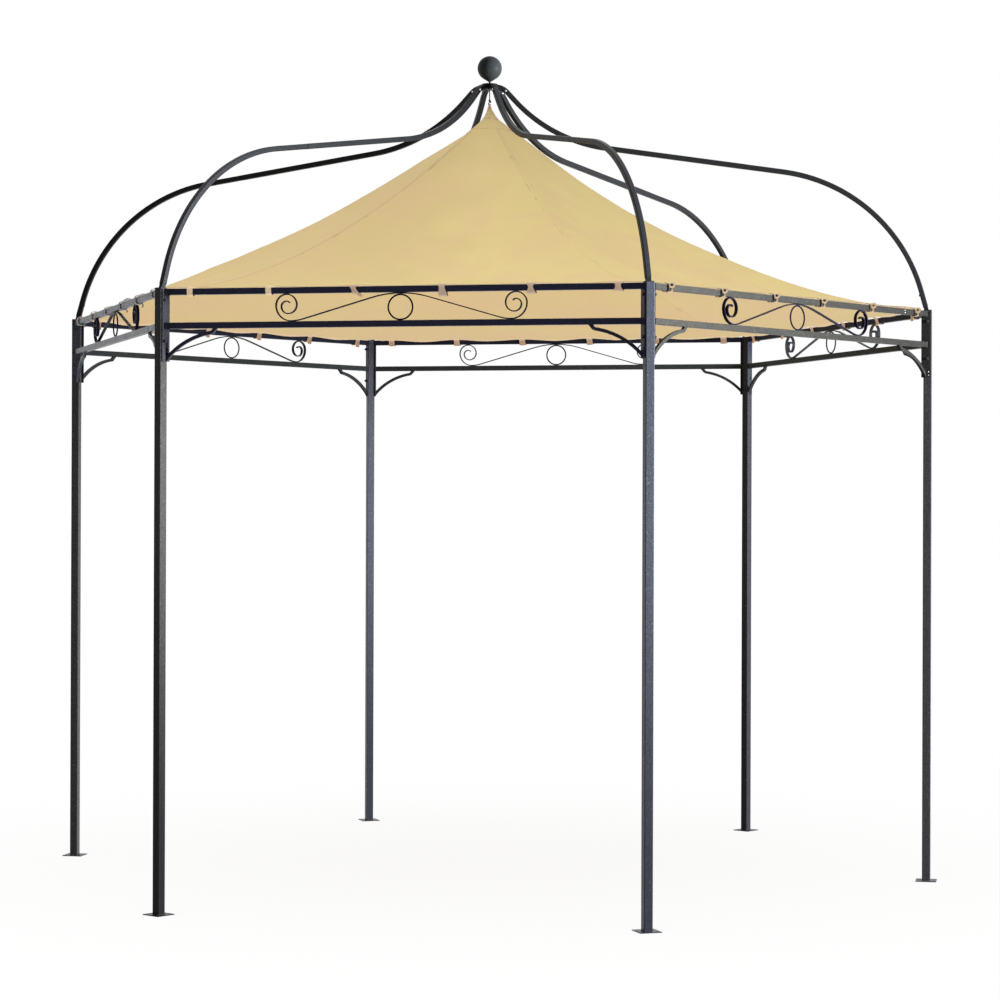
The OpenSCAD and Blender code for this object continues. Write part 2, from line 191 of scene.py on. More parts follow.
# the paint has its full share up to the first distance from the middle, and none past the second
PAINT_FADES = (2.4, 5.5)

bm = bmesh.new()
bmesh.ops.create_circle(bm, cap_ends=True, segments=96, radius=FLOOR_R)
floor_mesh = bpy.data.meshes.new("floor")
bm.to_mesh(floor_mesh)
bm.free()
floor = bpy.data.objects.new("floor", floor_mesh)
bpy.context.scene.collection.objects.link(floor)

paint = bpy.data.materials.new("matt_white_floor_paint")
paint.use_nodes = True
tree = paint.node_tree
tree.nodes.clear()
spot = node(tree, "ShaderNodeTexCoord")
away = node(tree, "ShaderNodeVectorMath", {0: spot.outputs["Object"]}, operation="LENGTH")
near = node(tree, "ShaderNodeMapRange",
            {0: away.outputs["Value"], 1: PAINT_FADES[0], 2: PAINT_FADES[1], 3: 1.0 - PAINT_SHARE, 4: 1.0},
            interpolation_type="SMOOTHSTEP")
share = node(tree, "ShaderNodeMath", {0: near.outputs[0], 1: background_rays(tree)}, operation="MULTIPLY")
matt = node(tree, "ShaderNodeBsdfDiffuse", {"Color": (FLOOR_PAINT,) * 3 + (1,)})
missing = node(tree, "ShaderNodeMath", {0: near.outputs[0], 1: PAINT_LIGHT, 2: 1.0 - PAINT_LIGHT},
               operation="MULTIPLY_ADD")
lift = node(tree, "ShaderNodeMath", {0: missing.outputs[0], 1: near.outputs[0]}, operation="DIVIDE")
white = node(tree, "ShaderNodeEmission", {"Strength": lift.outputs[0]})
mixed = node(tree, "ShaderNodeMixShader", {0: share.outputs[0], 1: matt.outputs[0], 2: white.outputs[0]})
node(tree, "ShaderNodeOutputMaterial", {"Surface": mixed.outputs[0]})
floor_mesh.materials.append(paint)
lit_by["cloth"].objects.link(floor)
print("floor disc", FLOOR_R, "m")

# %% [markdown]
# ## The steel's finish
# The real one is a polyester powder coat: dry powder sprayed on the steel and baked. It gives a dark
# anthracite with a very fine pebbled skin and a low gloss, and it lightens towards a bluish grey
# where a face looks at the light. The pebble is under a millimetre, too fine for a picture of the
# whole gazebo, so it is drawn at 2 mm, and a mottle of 4.5 mm with light grit carries the speckle
# that shows. The ball is smoother and duller than the tubes. The other parts get copies of the coat,
# a shade bluer, warmer, lighter or darker than one another, which paint in how light and shade fall
# on each part, and the ribs are darker as painted shade. On some posts the coat darkens towards the
# ground, and on some rails towards one end or on one rail, as painted shade. So one recipe takes each
# copy's colours, and an axis of the object along which the coat turns towards a painted shade colour.


# %% Powder coat
# the size of each pattern's grain, in metres
MOTTLE, GRIT, PEBBLE, PATCHES = 0.0045, 0.0032, 0.002, 0.03


def surface_tree(name):
    """A new material, its emptied node tree, and its Object coordinates in metres."""
    material = bpy.data.materials.new(name)
    material.use_nodes = True
    material.node_tree.nodes.clear()
    where = node(material.node_tree, "ShaderNodeTexCoord").outputs["Object"]
    return material, material.node_tree, where


def powder_coat(name, dark, light, fleck, gloss=(0.27, 0.37), shine=0.08,
                tint="#C9D2F0", painted_shade=("Z", 1.45, 0.2, 0.0), shade_colour="#141416"):
    """The axis along which the coat turns to a painted shade colour, where that starts, where it stops, and
    by how much.
    """
    material, tree, where = surface_tree(name)
    mottle = node(tree, "ShaderNodeTexNoise",
                  {"Vector": where, "Scale": 1 / MOTTLE, "Detail": 3.0, "Roughness": 0.65})
    speck = node(tree, "ShaderNodeMapRange", {0: mottle.outputs["Fac"], 1: 0.36, 2: 0.68})
    coat = node(tree, "ShaderNodeMix",
                {"Factor": speck.outputs[0], "A": linear(dark), "B": linear(light)}, data_type="RGBA")
    grit = node(tree, "ShaderNodeTexNoise", {"Vector": where, "Scale": 1 / GRIT, "Detail": 1.0})
    bright = node(tree, "ShaderNodeMapRange", {0: grit.outputs["Fac"], 1: 0.66, 2: 0.74, 3: 0.0, 4: 0.8})
    coat = node(tree, "ShaderNodeMix",
                {"Factor": bright.outputs[0], "A": coat.outputs["Result"], "B": linear(fleck)},
                data_type="RGBA")
    # the coat turns to a painted shade colour along one axis
    axis, start, stop, amount = painted_shade
    place = node(tree, "ShaderNodeSeparateXYZ", {0: where})
    wear_and_shade = node(tree, "ShaderNodeMapRange",
                {0: place.outputs[axis], 1: start, 2: stop, 3: 0.0, 4: amount},
                interpolation_type="SMOOTHSTEP")
    colour = node(tree, "ShaderNodeMix",
                  {"Factor": wear_and_shade.outputs[0], "A": coat.outputs["Result"], "B": linear(shade_colour)},
                  data_type="RGBA")
    patches = node(tree, "ShaderNodeTexNoise", {"Vector": where, "Scale": 1 / PATCHES, "Detail": 4.0})
    sheen = node(tree, "ShaderNodeMapRange",
                 {0: patches.outputs["Fac"], 1: 0.3, 2: 0.7, 3: gloss[0], 4: gloss[1]})
    pebble = node(tree, "ShaderNodeTexNoise", {"Vector": where, "Scale": 1 / PEBBLE, "Detail": 2.0})
    skin = node(tree, "ShaderNodeBump",
                {"Height": pebble.outputs["Fac"], "Strength": 0.35, "Distance": 0.0006})
    wide = node(tree, "ShaderNodeBump",
                {"Height": mottle.outputs["Fac"], "Strength": 0.25, "Distance": 0.0012,
                 "Normal": skin.outputs[0]})
    shader = node(tree, "ShaderNodeBsdfPrincipled", {
        "Base Color": colour.outputs["Result"], "Roughness": sheen.outputs[0], "Specular IOR Level": shine,
        "Specular Tint": linear(tint), "Normal": wide.outputs[0]})
    node(tree, "ShaderNodeOutputMaterial", {"Surface": shader.outputs[0]})
    return material


anthracite = powder_coat("polyester_powder_coat_anthracite", "#35363A", "#4C4C50", fleck="#9C9EA6")
# darker towards the ground, a painted shade where the light falls off
anthracite_shaded_low = powder_coat(
    "polyester_powder_coat_shaded_low", "#39393B", "#505051", fleck="#9C9EA6", tint="#D8DADE",
    painted_shade=("Z", 1.45, 0.2, 0.87))
# these copies differ in tone as light and shade fall on their parts, and each darkens along its axis as
# painted shade
anthracite_blue = powder_coat(
    "polyester_powder_coat_bluish", "#3D4048", "#565A69", fleck="#A0A4AF", shine=0.20, tint="#BDC7F2",
    painted_shade=("Z", 1.45, 0.2, 0.68))
anthracite_navy = powder_coat(
    "polyester_powder_coat_navy", "#32334A", "#40415C", fleck="#8A8B90", shine=0.11, tint="#CACEE8",
    painted_shade=("X", -0.80, -0.85, 0.85), shade_colour="#262628")
anthracite_warm = powder_coat(
    "polyester_powder_coat_warm", "#30302F", "#464642", fleck="#8A8B86", tint="#DFE0DC",
    painted_shade=("Y", -1.5, 0.2, 0.62))
anthracite_grey = powder_coat(
    "polyester_powder_coat_grey", "#292B30", "#393B40", fleck="#70737A", shine=0.13, tint="#CDD4F0",
    painted_shade=("Z", 1.45, 0.2, 0.35))
anthracite_smooth = powder_coat(
    "polyester_powder_coat_smooth", "#1F2225", "#2A2D30", fleck="#3C3F42", tint="#D2D5E4")
# ribs 1 and 6 a shade lighter and bluer than the other ribs, painted light
anthracite_rib_lit = powder_coat(
    "polyester_powder_coat_rib_lit", "#2C2F33", "#3A3D41", fleck="#505257", tint="#D4D7E4")
anthracite_dark = powder_coat(
    "polyester_powder_coat_dark", "#1B1828", "#242134", fleck="#393748", shine=0.03, tint="#CCC8EC")
anthracite_rear = powder_coat(
    "polyester_powder_coat_rear", "#2E3338", "#393E42", fleck="#5A5C60", shine=0.03,
    painted_shade=("Z", 2.12, 2.17, 0.85), shade_colour="#2B2D42")
ball_coat = powder_coat(
    "polyester_powder_coat_ball", "#34383A", "#3D4244", fleck="#484D50", gloss=(0.40, 0.50))
hook_enamel = powder_coat("black_enamelled_hook_wire", "#08080A", "#101012", fleck="#202024")
print("coats mixed, pebble", round(PEBBLE * 1000, 1), "mm")


# %% Which part has which coat
def ribs(*numbers):
    """The names of both halves of the numbered ribs."""
    return [f"rib_{half}_{k}" for half in ("lower", "upper") for k in numbers]


# each part's coat paints in light and shade: the darker coats on the ribs, hub, caps and scrolls are painted
# shade, and the bluer, warmer and greyer ones follow how light falls on each part
COATS = {
    anthracite_shaded_low: ("post_5",),
    anthracite_blue: ("post_3", "post_6", "side_frame_4"),
    anthracite_navy: ("side_frame_5",),
    anthracite_warm: ("side_frame_6",),
    anthracite_grey: ("post_2",),
    anthracite_dark: [f"scroll_{k}" for k in (4, 5, 6)],
    anthracite_rear: ("side_frame_1", "side_frame_2", "side_frame_3"),
    anthracite_smooth: ("hub", "post_caps", "scroll_1", "scroll_2", "scroll_3", *ribs(2, 3, 4, 5)),
    anthracite_rib_lit: ribs(1, 6),
    ball_coat: ("ball",),
    hook_enamel: ("hook",),
}
coat_of = {name: coat for coat, names in COATS.items() for name in names}

for name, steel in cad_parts.items():
    for place in steel.material_slots:
        place.material = coat_of.get(name, anthracite)
    place_in_light(steel, "steel", over_cloth=name in ("ball", "hub"))
print("coated", len(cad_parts), "nodes")

# %% [markdown]
# ## Bent roof tubes
# Each roof rib is a 20 mm square tube with rounded corners, bent three times on rollers: a wide
# shoulder, a hollow sweep, and a short turn into the hub. The CAD has its true path in short flats
# with sharp corners. Here the same path is followed with a rounded ring of edges that is extruded
# along the straights and spun round the bends, which is how the tube was bent, so that light runs
# along its corners without a break. Solidify then gives it its wall.

# %% Sizes shared with the CAD source, in metres and degrees
SIDES = 6
TURN = 360 / SIDES
POST_RING_R, POST_H, CAP_T = 1.75, 2.225, 0.002
SIDE_MID_R = POST_RING_R * cos(radians(TURN / 2))
RAIL_W = 0.022
UPPER_RAIL_Z, LOWER_RAIL_Z = 2.211, 2.091
RIB_W, RIB_WALL, RIB_CORNER = 0.020, 0.0015, 0.003
RIB_LEAN, RIB_INSET, RIB_FOOT_GAP, RIB_FOOT_RUN = 15.6, 0.005, 0.013, 0.075
SHOULDER_R, ROOF_SLOPE, JOINT_RUN = 0.665, 8.8, 0.155
SHOULDER_TURN = 90 - RIB_LEAN - ROOF_SLOPE
SWEEP_R, STEEP, STEEP_RUN = 0.639, 47.7, 0.046
TOP_BEND_R, TOP_RUN, RIB_END_R = 0.065, 0.006, 0.0182
print("posts stand", POST_RING_R, "m from the middle, sides", round(SIDE_MID_R, 4), "m")


# %% The rib's path
def to_post(k):
    """The turn about Z that takes what was made at post 1 to post k."""
    return Matrix.Rotation(radians(TURN * (k - 1)), 4, "Z")


def to_side(k):
    """The turn about Z that takes what was made along X to the middle of side k."""
    return Matrix.Rotation(radians(TURN * k - TURN / 2), 4, "Z")


def ahead(s, length):
    """A station is (out, up, heading in degrees), and this is the one that lies straight ahead."""
    return (s[0] + length * cos(radians(s[2])), s[1] + length * sin(radians(s[2])), s[2])


def bend_centre(s, r, angle):
    side = 1 if angle > 0 else -1
    return (s[0] - side * r * sin(radians(s[2])), s[1] + side * r * cos(radians(s[2])))


def after_bend(s, r, angle):
    cx, cz = bend_centre(s, r, angle)
    x, z = s[0] - cx, s[1] - cz
    c, n = cos(radians(angle)), sin(radians(angle))
    return (cx + x * c - z * n, cz + x * n + z * c, s[2] + angle)


rib_foot = (POST_RING_R - RIB_INSET, POST_H + CAP_T, 90 + RIB_LEAN)
shoulder_start = ahead(rib_foot, RIB_FOOT_RUN)
shoulder_end = after_bend(shoulder_start, SHOULDER_R, SHOULDER_TURN)
top_run = TOP_RUN + TOP_BEND_R * sin(radians(STEEP)) + STEEP_RUN * cos(radians(STEEP)) \
    + SWEEP_R * (sin(radians(STEEP)) - sin(radians(ROOF_SLOPE)))
roof_straight = (shoulder_end[0] - RIB_END_R - top_run) / cos(radians(ROOF_SLOPE))
sweep_start = ahead(shoulder_end, roof_straight)
sweep_end = after_bend(sweep_start, SWEEP_R, ROOF_SLOPE - STEEP)
top_start = ahead(sweep_end, STEEP_RUN)
top_end = after_bend(top_start, TOP_BEND_R, STEEP)
rib_tip = ahead(top_end, TOP_RUN)
print("rib tip", [round(v, 4) for v in rib_tip])


# %% Follow a path with a ring
def only(kind, geometry):
    """Those of an operator's results that are vertices, or edges."""
    return [part for part in geometry if isinstance(part, kind)]


def new_piece(name, bm, material, smooth=True, lit="steel", over_cloth=False):
    """Turns a finished bmesh into an object in the scene that rides on the frame."""
    mesh = bpy.data.meshes.new(name)
    bm.to_mesh(mesh)
    bm.free()
    mesh.materials.append(material)
    for polygon in mesh.polygons:
        polygon.use_smooth = smooth
    piece = bpy.data.objects.new(name, mesh)
    bpy.context.scene.collection.objects.link(piece)
    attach(piece, "root")
    place_in_light(piece, lit, over_cloth)
    return piece


def rounded_ring(bm, s, width, corner):
    """A rounded square of edges across the path at station s, in the plane of X and Z."""
    square = bmesh.ops.create_grid(bm, x_segments=1, y_segments=1, size=width / 2)
    bmesh.ops.bevel(bm, geom=square["verts"], affect="VERTICES", offset=corner, segments=4, profile=0.5,
                    material=-1)
    bmesh.ops.delete(bm, geom=bm.faces[:], context="FACES_ONLY")
    across = Matrix.Translation((s[0], 0, s[1])) @ Matrix.Rotation(radians(90 - s[2]), 4, "Y")
    bmesh.ops.transform(bm, matrix=across, verts=bm.verts)
    return bm.edges[:]


def pull(bm, ring, s, length):
    """Extrudes the ring straight on, and returns the new ring and station."""
    moved = bmesh.ops.extrude_edge_only(bm, edges=ring)["geom"]
    ahead_by = Vector((cos(radians(s[2])), 0, sin(radians(s[2])))) * length
    bmesh.ops.translate(bm, vec=ahead_by, verts=only(bmesh.types.BMVert, moved))
    return only(bmesh.types.BMEdge, moved), ahead(s, length)


def roll(bm, ring, s, r, angle, degrees_each=2.0):
    """Spins the ring round a bend, and returns the new ring and station."""
    cx, cz = bend_centre(s, r, angle)
    spun = bmesh.ops.spin(bm, geom=ring, cent=(cx, 0, cz), axis=(0, -1, 0), angle=radians(angle),
                          steps=ceil(abs(angle) / degrees_each), use_merge=False)
    return only(bmesh.types.BMEdge, spun["geom_last"]), after_bend(s, r, angle)


# %% A wall for an open shell
def give_wall(piece, name, thickness, offset):
    """Solidify gives the wall, and Weighted Normal keeps its rim from bending the light on the faces."""
    wall = piece.modifiers.new(name, "SOLIDIFY")
    wall.thickness = thickness
    wall.offset = offset
    piece.modifiers.new("even_light", "WEIGHTED_NORMAL").weight = 90


# %% Lower and upper tubes
# a thin gap shows where the tubes meet, and the upper one is a touch wider
JOINT_GAP, JOINT_SETBACK, JOINT_STEP = 0.0017, 0.0002, 0.0006


def finish_tube(name, bm, k, replaced):
    """Cleans a tube, turns it to its post, gives it a wall, and puts it in its CAD node's place."""
    bmesh.ops.remove_doubles(bm, verts=bm.verts, dist=1e-6)
    rims = [e for e in bm.edges if e.is_boundary]
    ends = bmesh.ops.holes_fill(bm, edges=rims, sides=0)["faces"]
    bmesh.ops.recalc_face_normals(bm, faces=bm.faces)
    bmesh.ops.delete(bm, geom=ends, context="FACES_ONLY")
    bmesh.ops.transform(bm, matrix=to_post(k), verts=bm.verts)
    tube = new_piece(name, bm, coat_of[replaced], over_cloth=True)
    give_wall(tube, "wall", RIB_WALL, -1)
    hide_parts(replaced)
    return tube


for k in range(1, SIDES + 1):
    bm = bmesh.new()
    at = ahead(rib_foot, RIB_FOOT_GAP)
    ring = rounded_ring(bm, at, RIB_W, RIB_CORNER)
    ring, at = pull(bm, ring, at, RIB_FOOT_RUN - RIB_FOOT_GAP)
    ring, at = roll(bm, ring, at, SHOULDER_R, SHOULDER_TURN)
    ring, at = pull(bm, ring, at, JOINT_RUN + JOINT_SETBACK - JOINT_GAP)
    finish_tube(f"rib_tube_lower_{k}", bm, k, f"rib_lower_{k}")

    bm = bmesh.new()
    at = ahead(at, JOINT_GAP)
    ring = rounded_ring(bm, at, RIB_W + JOINT_STEP, RIB_CORNER)
    ring, at = pull(bm, ring, at, roof_straight - JOINT_RUN - JOINT_SETBACK)
    ring, at = roll(bm, ring, at, SWEEP_R, ROOF_SLOPE - STEEP)
    ring, at = pull(bm, ring, at, STEEP_RUN)
    ring, at = roll(bm, ring, at, TOP_BEND_R, STEEP, degrees_each=5.0)
    ring, at = pull(bm, ring, at, TOP_RUN)
    finish_tube(f"rib_tube_upper_{k}", bm, k, f"rib_upper_{k}")
print("ribs end at", [round(v, 4) for v in at])

# %% [markdown]
# ## Bolts, screws and weld beads
# The side frames are bolted through each post with two M6 bolts that also clamp the end bars, and
# each rib is held on its spigot by one pan head screw and under the hub by bright domed ones. Two small
# bright heads, one over the other, stand on the upper rail of side 6 and on its end bar at post 1.
# Heads start from six-sided and round cones, with their edges bevelled, and all of one kind are joined
# in a piece, because nobody moves them singly. Weld beads are thin rings that follow each joint, with
# a ripple left by the torch: a curve with a round section and a changing radius gives just that.

# %% Fasteners
BOLT_HEIGHTS = (2.182, 2.036)
BAR_FACE = 0.0202
WASHER_R, WASHER_T = 0.0062, 0.0012
HEX_R, HEAD_T, NUT_T = 0.0056, 0.0040, 0.0048
THREAD_R, THREAD_TIP_R, THREAD_OUT = 0.0029, 0.0026, 0.0030
WASHER_EDGE, HEX_EDGE, THREAD_EDGE = 0.0003, 0.0006, 0.0005
# how far the bolt heads happen to be turned, in degrees
HEADS_TURNED = 17
# of a screw head: radius at its foot and at its top, height, and how far its edges are rounded
FOOT_HEAD = (0.0050, 0.0036, 0.0030, 0.0009)
TOP_HEAD = (0.0048, 0.0030, 0.0026, 0.0008)
SMALL_HEAD = (0.0028, 0.0020, 0.0018, 0.0004)

# zinc plating is a thin bright metal that dulls in patches, so roughness and tint drift together
zinc, tree, where = surface_tree("bright_zinc_plated_screw")
tarnish = node(tree, "ShaderNodeTexNoise", {"Vector": where, "Scale": 1 / 0.004, "Detail": 3.0})
shine = node(tree, "ShaderNodeMapRange", {0: tarnish.outputs["Fac"], 3: 0.22, 4: 0.42})
zinc_tint = node(tree, "ShaderNodeMix",
                 {"Factor": tarnish.outputs["Fac"], "A": linear("#DADCDF"), "B": linear("#B9BBBC")},
                 data_type="RGBA")
shader = node(tree, "ShaderNodeBsdfPrincipled",
              {"Base Color": zinc_tint.outputs["Result"], "Metallic": 1.0, "Roughness": shine.outputs[0]})
node(tree, "ShaderNodeOutputMaterial", {"Surface": shader.outputs[0]})


def disc(bm, segments, r_low, r_high, depth, base, place, bevel):
    """A capped cone with bevelled edges, which stands on base along +Z before it is placed."""
    made = bmesh.ops.create_cone(bm, cap_ends=True, segments=segments, radius1=r_low, radius2=r_high,
                                 depth=depth, matrix=place @ Matrix.Translation((0, 0, base + depth / 2)))
    edges = list({e for v in made["verts"] for e in v.link_edges})
    bmesh.ops.bevel(bm, geom=edges, affect="EDGES", offset=bevel, segments=2, profile=0.5, material=-1,
                    clamp_overlap=True)


def bolt_pair(bm, place):
    """An M6 hex bolt and its nut on either face of the clamped bars, along the local Z."""
    turned = place @ Matrix.Rotation(radians(HEADS_TURNED), 4, "Z")
    back = place @ Matrix.Rotation(pi, 4, "X")
    for face, hexagon, height in ((place, turned, HEAD_T), (back, back, NUT_T)):
        disc(bm, 24, WASHER_R, WASHER_R, WASHER_T, BAR_FACE, face, WASHER_EDGE)
        disc(bm, 6, HEX_R, HEX_R, height, BAR_FACE + WASHER_T, hexagon, HEX_EDGE)
    disc(bm, 16, THREAD_R, THREAD_TIP_R, THREAD_OUT, BAR_FACE + WASHER_T + NUT_T, back, THREAD_EDGE)


def screw_head(bm, head, place, base=0.0, segments=20):
    """A round head of the sizes given, which stands on base."""
    r_low, r_high, height, rounding = head
    disc(bm, segments, r_low, r_high, height, base, place, rounding)


for k in range(1, SIDES + 1):
    bm = bmesh.new()
    post_frame = to_post(k) @ Matrix.Translation((POST_RING_R, 0, 0))
    for height in BOLT_HEIGHTS:
        bolt_pair(bm, post_frame @ Matrix.Translation((0, 0, height)) @ Matrix.Rotation(pi / 2, 4, "X"))
    bolts = new_piece(f"post_bolts_{k}", bm, anthracite, smooth=False)
print("bolts at", SIDES, "posts")

# %% Small bright heads on side 6
RAIL_SCREW_ALONG, RAIL_SCREWS_APART = 0.697, 0.0092
BAR_SCREW_OUT, BAR_SCREW_Z, BAR_SCREWS_APART = 0.004, 1.978, 0.01196

bm = bmesh.new()
for half in (-0.5, 0.5):
    on_rail = Vector((SIDE_MID_R + RAIL_W / 2, RAIL_SCREW_ALONG, UPPER_RAIL_Z + half * RAIL_SCREWS_APART))
    screw_head(bm, SMALL_HEAD, to_side(6) @ Matrix.Translation(on_rail) @ Matrix.Rotation(pi / 2, 4, "Y"),
               segments=16)
    on_bar = Vector((POST_RING_R + BAR_SCREW_OUT, 0, BAR_SCREW_Z + half * BAR_SCREWS_APART))
    screw_head(bm, SMALL_HEAD, Matrix.Translation(on_bar) @ Matrix.Rotation(pi / 2, 4, "X"), BAR_FACE, 16)
rail_screws = new_piece("rail_screws", bm, zinc)
print("small heads on side 6,", len(rail_screws.data.polygons), "faces")

# %% Rib screws
FOOT_SCREW_RUN, TOP_SCREW_SHARE = 0.062, 0.10

bm_foot, bm_top = bmesh.new(), bmesh.new()
foot_screw_at = ahead(rib_foot, FOOT_SCREW_RUN)
top_screw_at = after_bend(top_start, TOP_BEND_R, STEEP * TOP_SCREW_SHARE)
normal = Vector((-cos(radians(RIB_LEAN)), 0, -sin(radians(RIB_LEAN))))
for k in range(1, SIDES + 1):
    inner_face = Vector((foot_screw_at[0], 0, foot_screw_at[1])) + normal * RIB_W / 2
    screw_head(bm_foot, FOOT_HEAD, to_post(k) @ Matrix.Translation(inner_face)
               @ normal.to_track_quat("Z", "Y").to_matrix().to_4x4())
    for side in (-1, 1):
        flank = Vector((top_screw_at[0], side * (RIB_W + JOINT_STEP) / 2, top_screw_at[1]))
        screw_head(bm_top, TOP_HEAD, to_post(k) @ Matrix.Translation(flank)
                   @ Matrix.Rotation(-side * pi / 2, 4, "X"))
foot_screws = new_piece("rib_foot_screws", bm_foot, anthracite)
top_screws = new_piece("rib_top_screws", bm_top, zinc, over_cloth=True)
print("rib screws at", [round(v, 3) for v in foot_screw_at[:2]], [round(v, 3) for v in top_screw_at[:2]])

# %% Weld beads
BEAD_POINTS, BEAD_R = 48, 0.0009
PLATE_BEAD_Z, END_BAR_IN = 0.0036, 0.0111


def bead_loop(curve, place, width, corner, ripples):
    """One closed bead round a square tube of the given width, in the local plane of X and Y."""
    spline = curve.splines.new("POLY")
    spline.points.add(BEAD_POINTS - 1)
    spline.use_cyclic_u = True
    for i, point in enumerate(spline.points):
        a = 2 * pi * i / BEAD_POINTS
        reach_x, reach_y = cos(a), sin(a)
        scale = (width / 2) / max(abs(reach_x), abs(reach_y))
        x, y = reach_x * scale, reach_y * scale
        over = hypot(max(abs(x) - width / 2 + corner, 0), max(abs(y) - width / 2 + corner, 0))
        trim = 1 - max(over - corner, 0) / max(hypot(x, y), 1e-6)
        at = place @ Vector((x * trim, y * trim, 0))
        point.co = (*at, 1)
        point.radius = 1 + 0.22 * sin(a * ripples) + 0.12 * noise.noise(at * 90)


weld_curve = bpy.data.curves.new("weld_beads", "CURVE")
weld_curve.dimensions = "3D"
weld_curve.bevel_depth = BEAD_R
weld_curve.bevel_resolution = 2
for k in range(1, SIDES + 1):
    post_frame = to_post(k) @ Matrix.Translation((POST_RING_R, 0, 0))
    plate = post_frame @ Matrix.Translation((0, 0, PLATE_BEAD_Z))
    bead_loop(weld_curve, plate, width=0.033, corner=0.004, ripples=17)
    for side in (-1, 1):
        for z in (UPPER_RAIL_Z, LOWER_RAIL_Z):
            end_bar = post_frame @ Matrix.Translation((-END_BAR_IN, side * BAR_FACE, z)) \
                @ Matrix.Rotation(radians(TURN / 2 * side), 4, "Z") @ Matrix.Rotation(pi / 2, 4, "X")
            bead_loop(weld_curve, end_bar, width=RAIL_W + 0.0004, corner=0.003, ripples=13)
welds = bpy.data.objects.new("weld_beads", weld_curve)
bpy.context.scene.collection.objects.link(welds)
weld_curve.materials.append(anthracite)
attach(welds, "root")
place_in_light(welds, "steel")
print("beads", len(weld_curve.splines))

# %% [markdown]
# ## The canopy cloth
# The roof is a polyester cloth sewn from six gores. It hangs from a hook at its peak and is tied to
# the upper rails by straps, so its hips fall in a hollow curve and each gore sags a little between
# them. It starts from a six-sided disc of triangles, which is subdivided, and every point is lifted
# to the height of the hanging cloth. The hip on the left is pulled higher than the others and the one
# on the right hangs lower near the peak, as on the real one, and the rear hem droops over its rails.
# Small folds run up from each strap, and slow waves show that the cloth is slack.

# %% Canopy sizes
CORNER_R, HEM_Z, RISE, POWER = 1.715, 2.226, 0.815, 1.62
TIP_RISE, TIP_R, SAG = 0.027, 0.030, 0.014
STRAP_PITCH, STRAP_W = 0.308, 0.028
# the middle of a side stands out this share of what its corners do
MIDDLE_SHARE = cos(radians(TURN / 2))
HEM_R = CORNER_R * MIDDLE_SHARE
# how far the hips to posts 4 and 1 stand off the even curve, by distance from the middle
HIP_PULL = {
    3: ((0.0, -0.006), (0.10, -0.010), (0.28, 0.016), (0.50, 0.034), (0.71, 0.048), (0.87, 0.062),
        (0.96, 0.069), (1.16, 0.078), (1.35, 0.072), (1.55, 0.040), (CORNER_R, 0.0)),
    0: ((0.0, 0.0), (0.15, -0.003), (0.38, -0.019), (0.55, -0.021), (0.74, -0.016), (0.97, -0.004),
        (1.2, 0.0), (1.45, 0.004), (CORNER_R, 0.005)),
}
BACK_GORES = (0, 1, 2)
# each of these has a height, and how far it reaches in from the hem
STRAP_TUCK, HEM_DROOP, STRAP_FOLD = (0.0032, 0.05), (0.012, 0.06), (0.0022, 0.11)
# a fold's length along the hem, how far aside of a strap folds go, and where they start
FOLD_LENGTH, FOLD_SPREAD, FOLD_START = 0.062, 0.075, 0.012
# the part of the droop that is even along the hem, and how much the rest differs between straps
DROOP_EVEN, DROOP_UNEVEN = 0.62, 0.35
# slow and quick waves of the slack cloth: height, waves to the metre, and a layer of the noise
WAVES = ((0.0040, 1.9, 0.3), (0.0022, 6.5, 4.0))
SLACK_SPREAD = 0.7
# how fast the droop and the waves come in beside a hip, which holds the cloth taut
DROOP_FROM_HIP, WAVES_FROM_HIP = 40, 5


def between(table, x):
    """Reads a table of (x, y) pairs with straight lines between them."""
    for (x0, y0), (x1, y1) in zip(table, table[1:]):
        if x <= x1:
            return y0 + (y1 - y0) * (x - x0) / (x1 - x0)
    return table[-1][1]


print("hem", round(HEM_R, 3), "m from the middle")


# %% The height of the hanging cloth
def on_gore(x, y):
    """Where a plan point lies: its gore, its reach along the hips, and its share across the gore."""
    angle = degrees(atan2(y, x)) % 360
    gore = int(angle // TURN) % SIDES
    a, b = radians(TURN * gore), radians(TURN * (gore + 1))
    det = cos(a) * sin(b) - cos(b) * sin(a)
    along_a = (x * sin(b) - y * cos(b)) / det
    along_b = (y * cos(a) - x * sin(a)) / det
    reach = max(along_a + along_b, 1e-9)
    return gore, reach, min(max(along_b / reach, 0.0), 1.0)


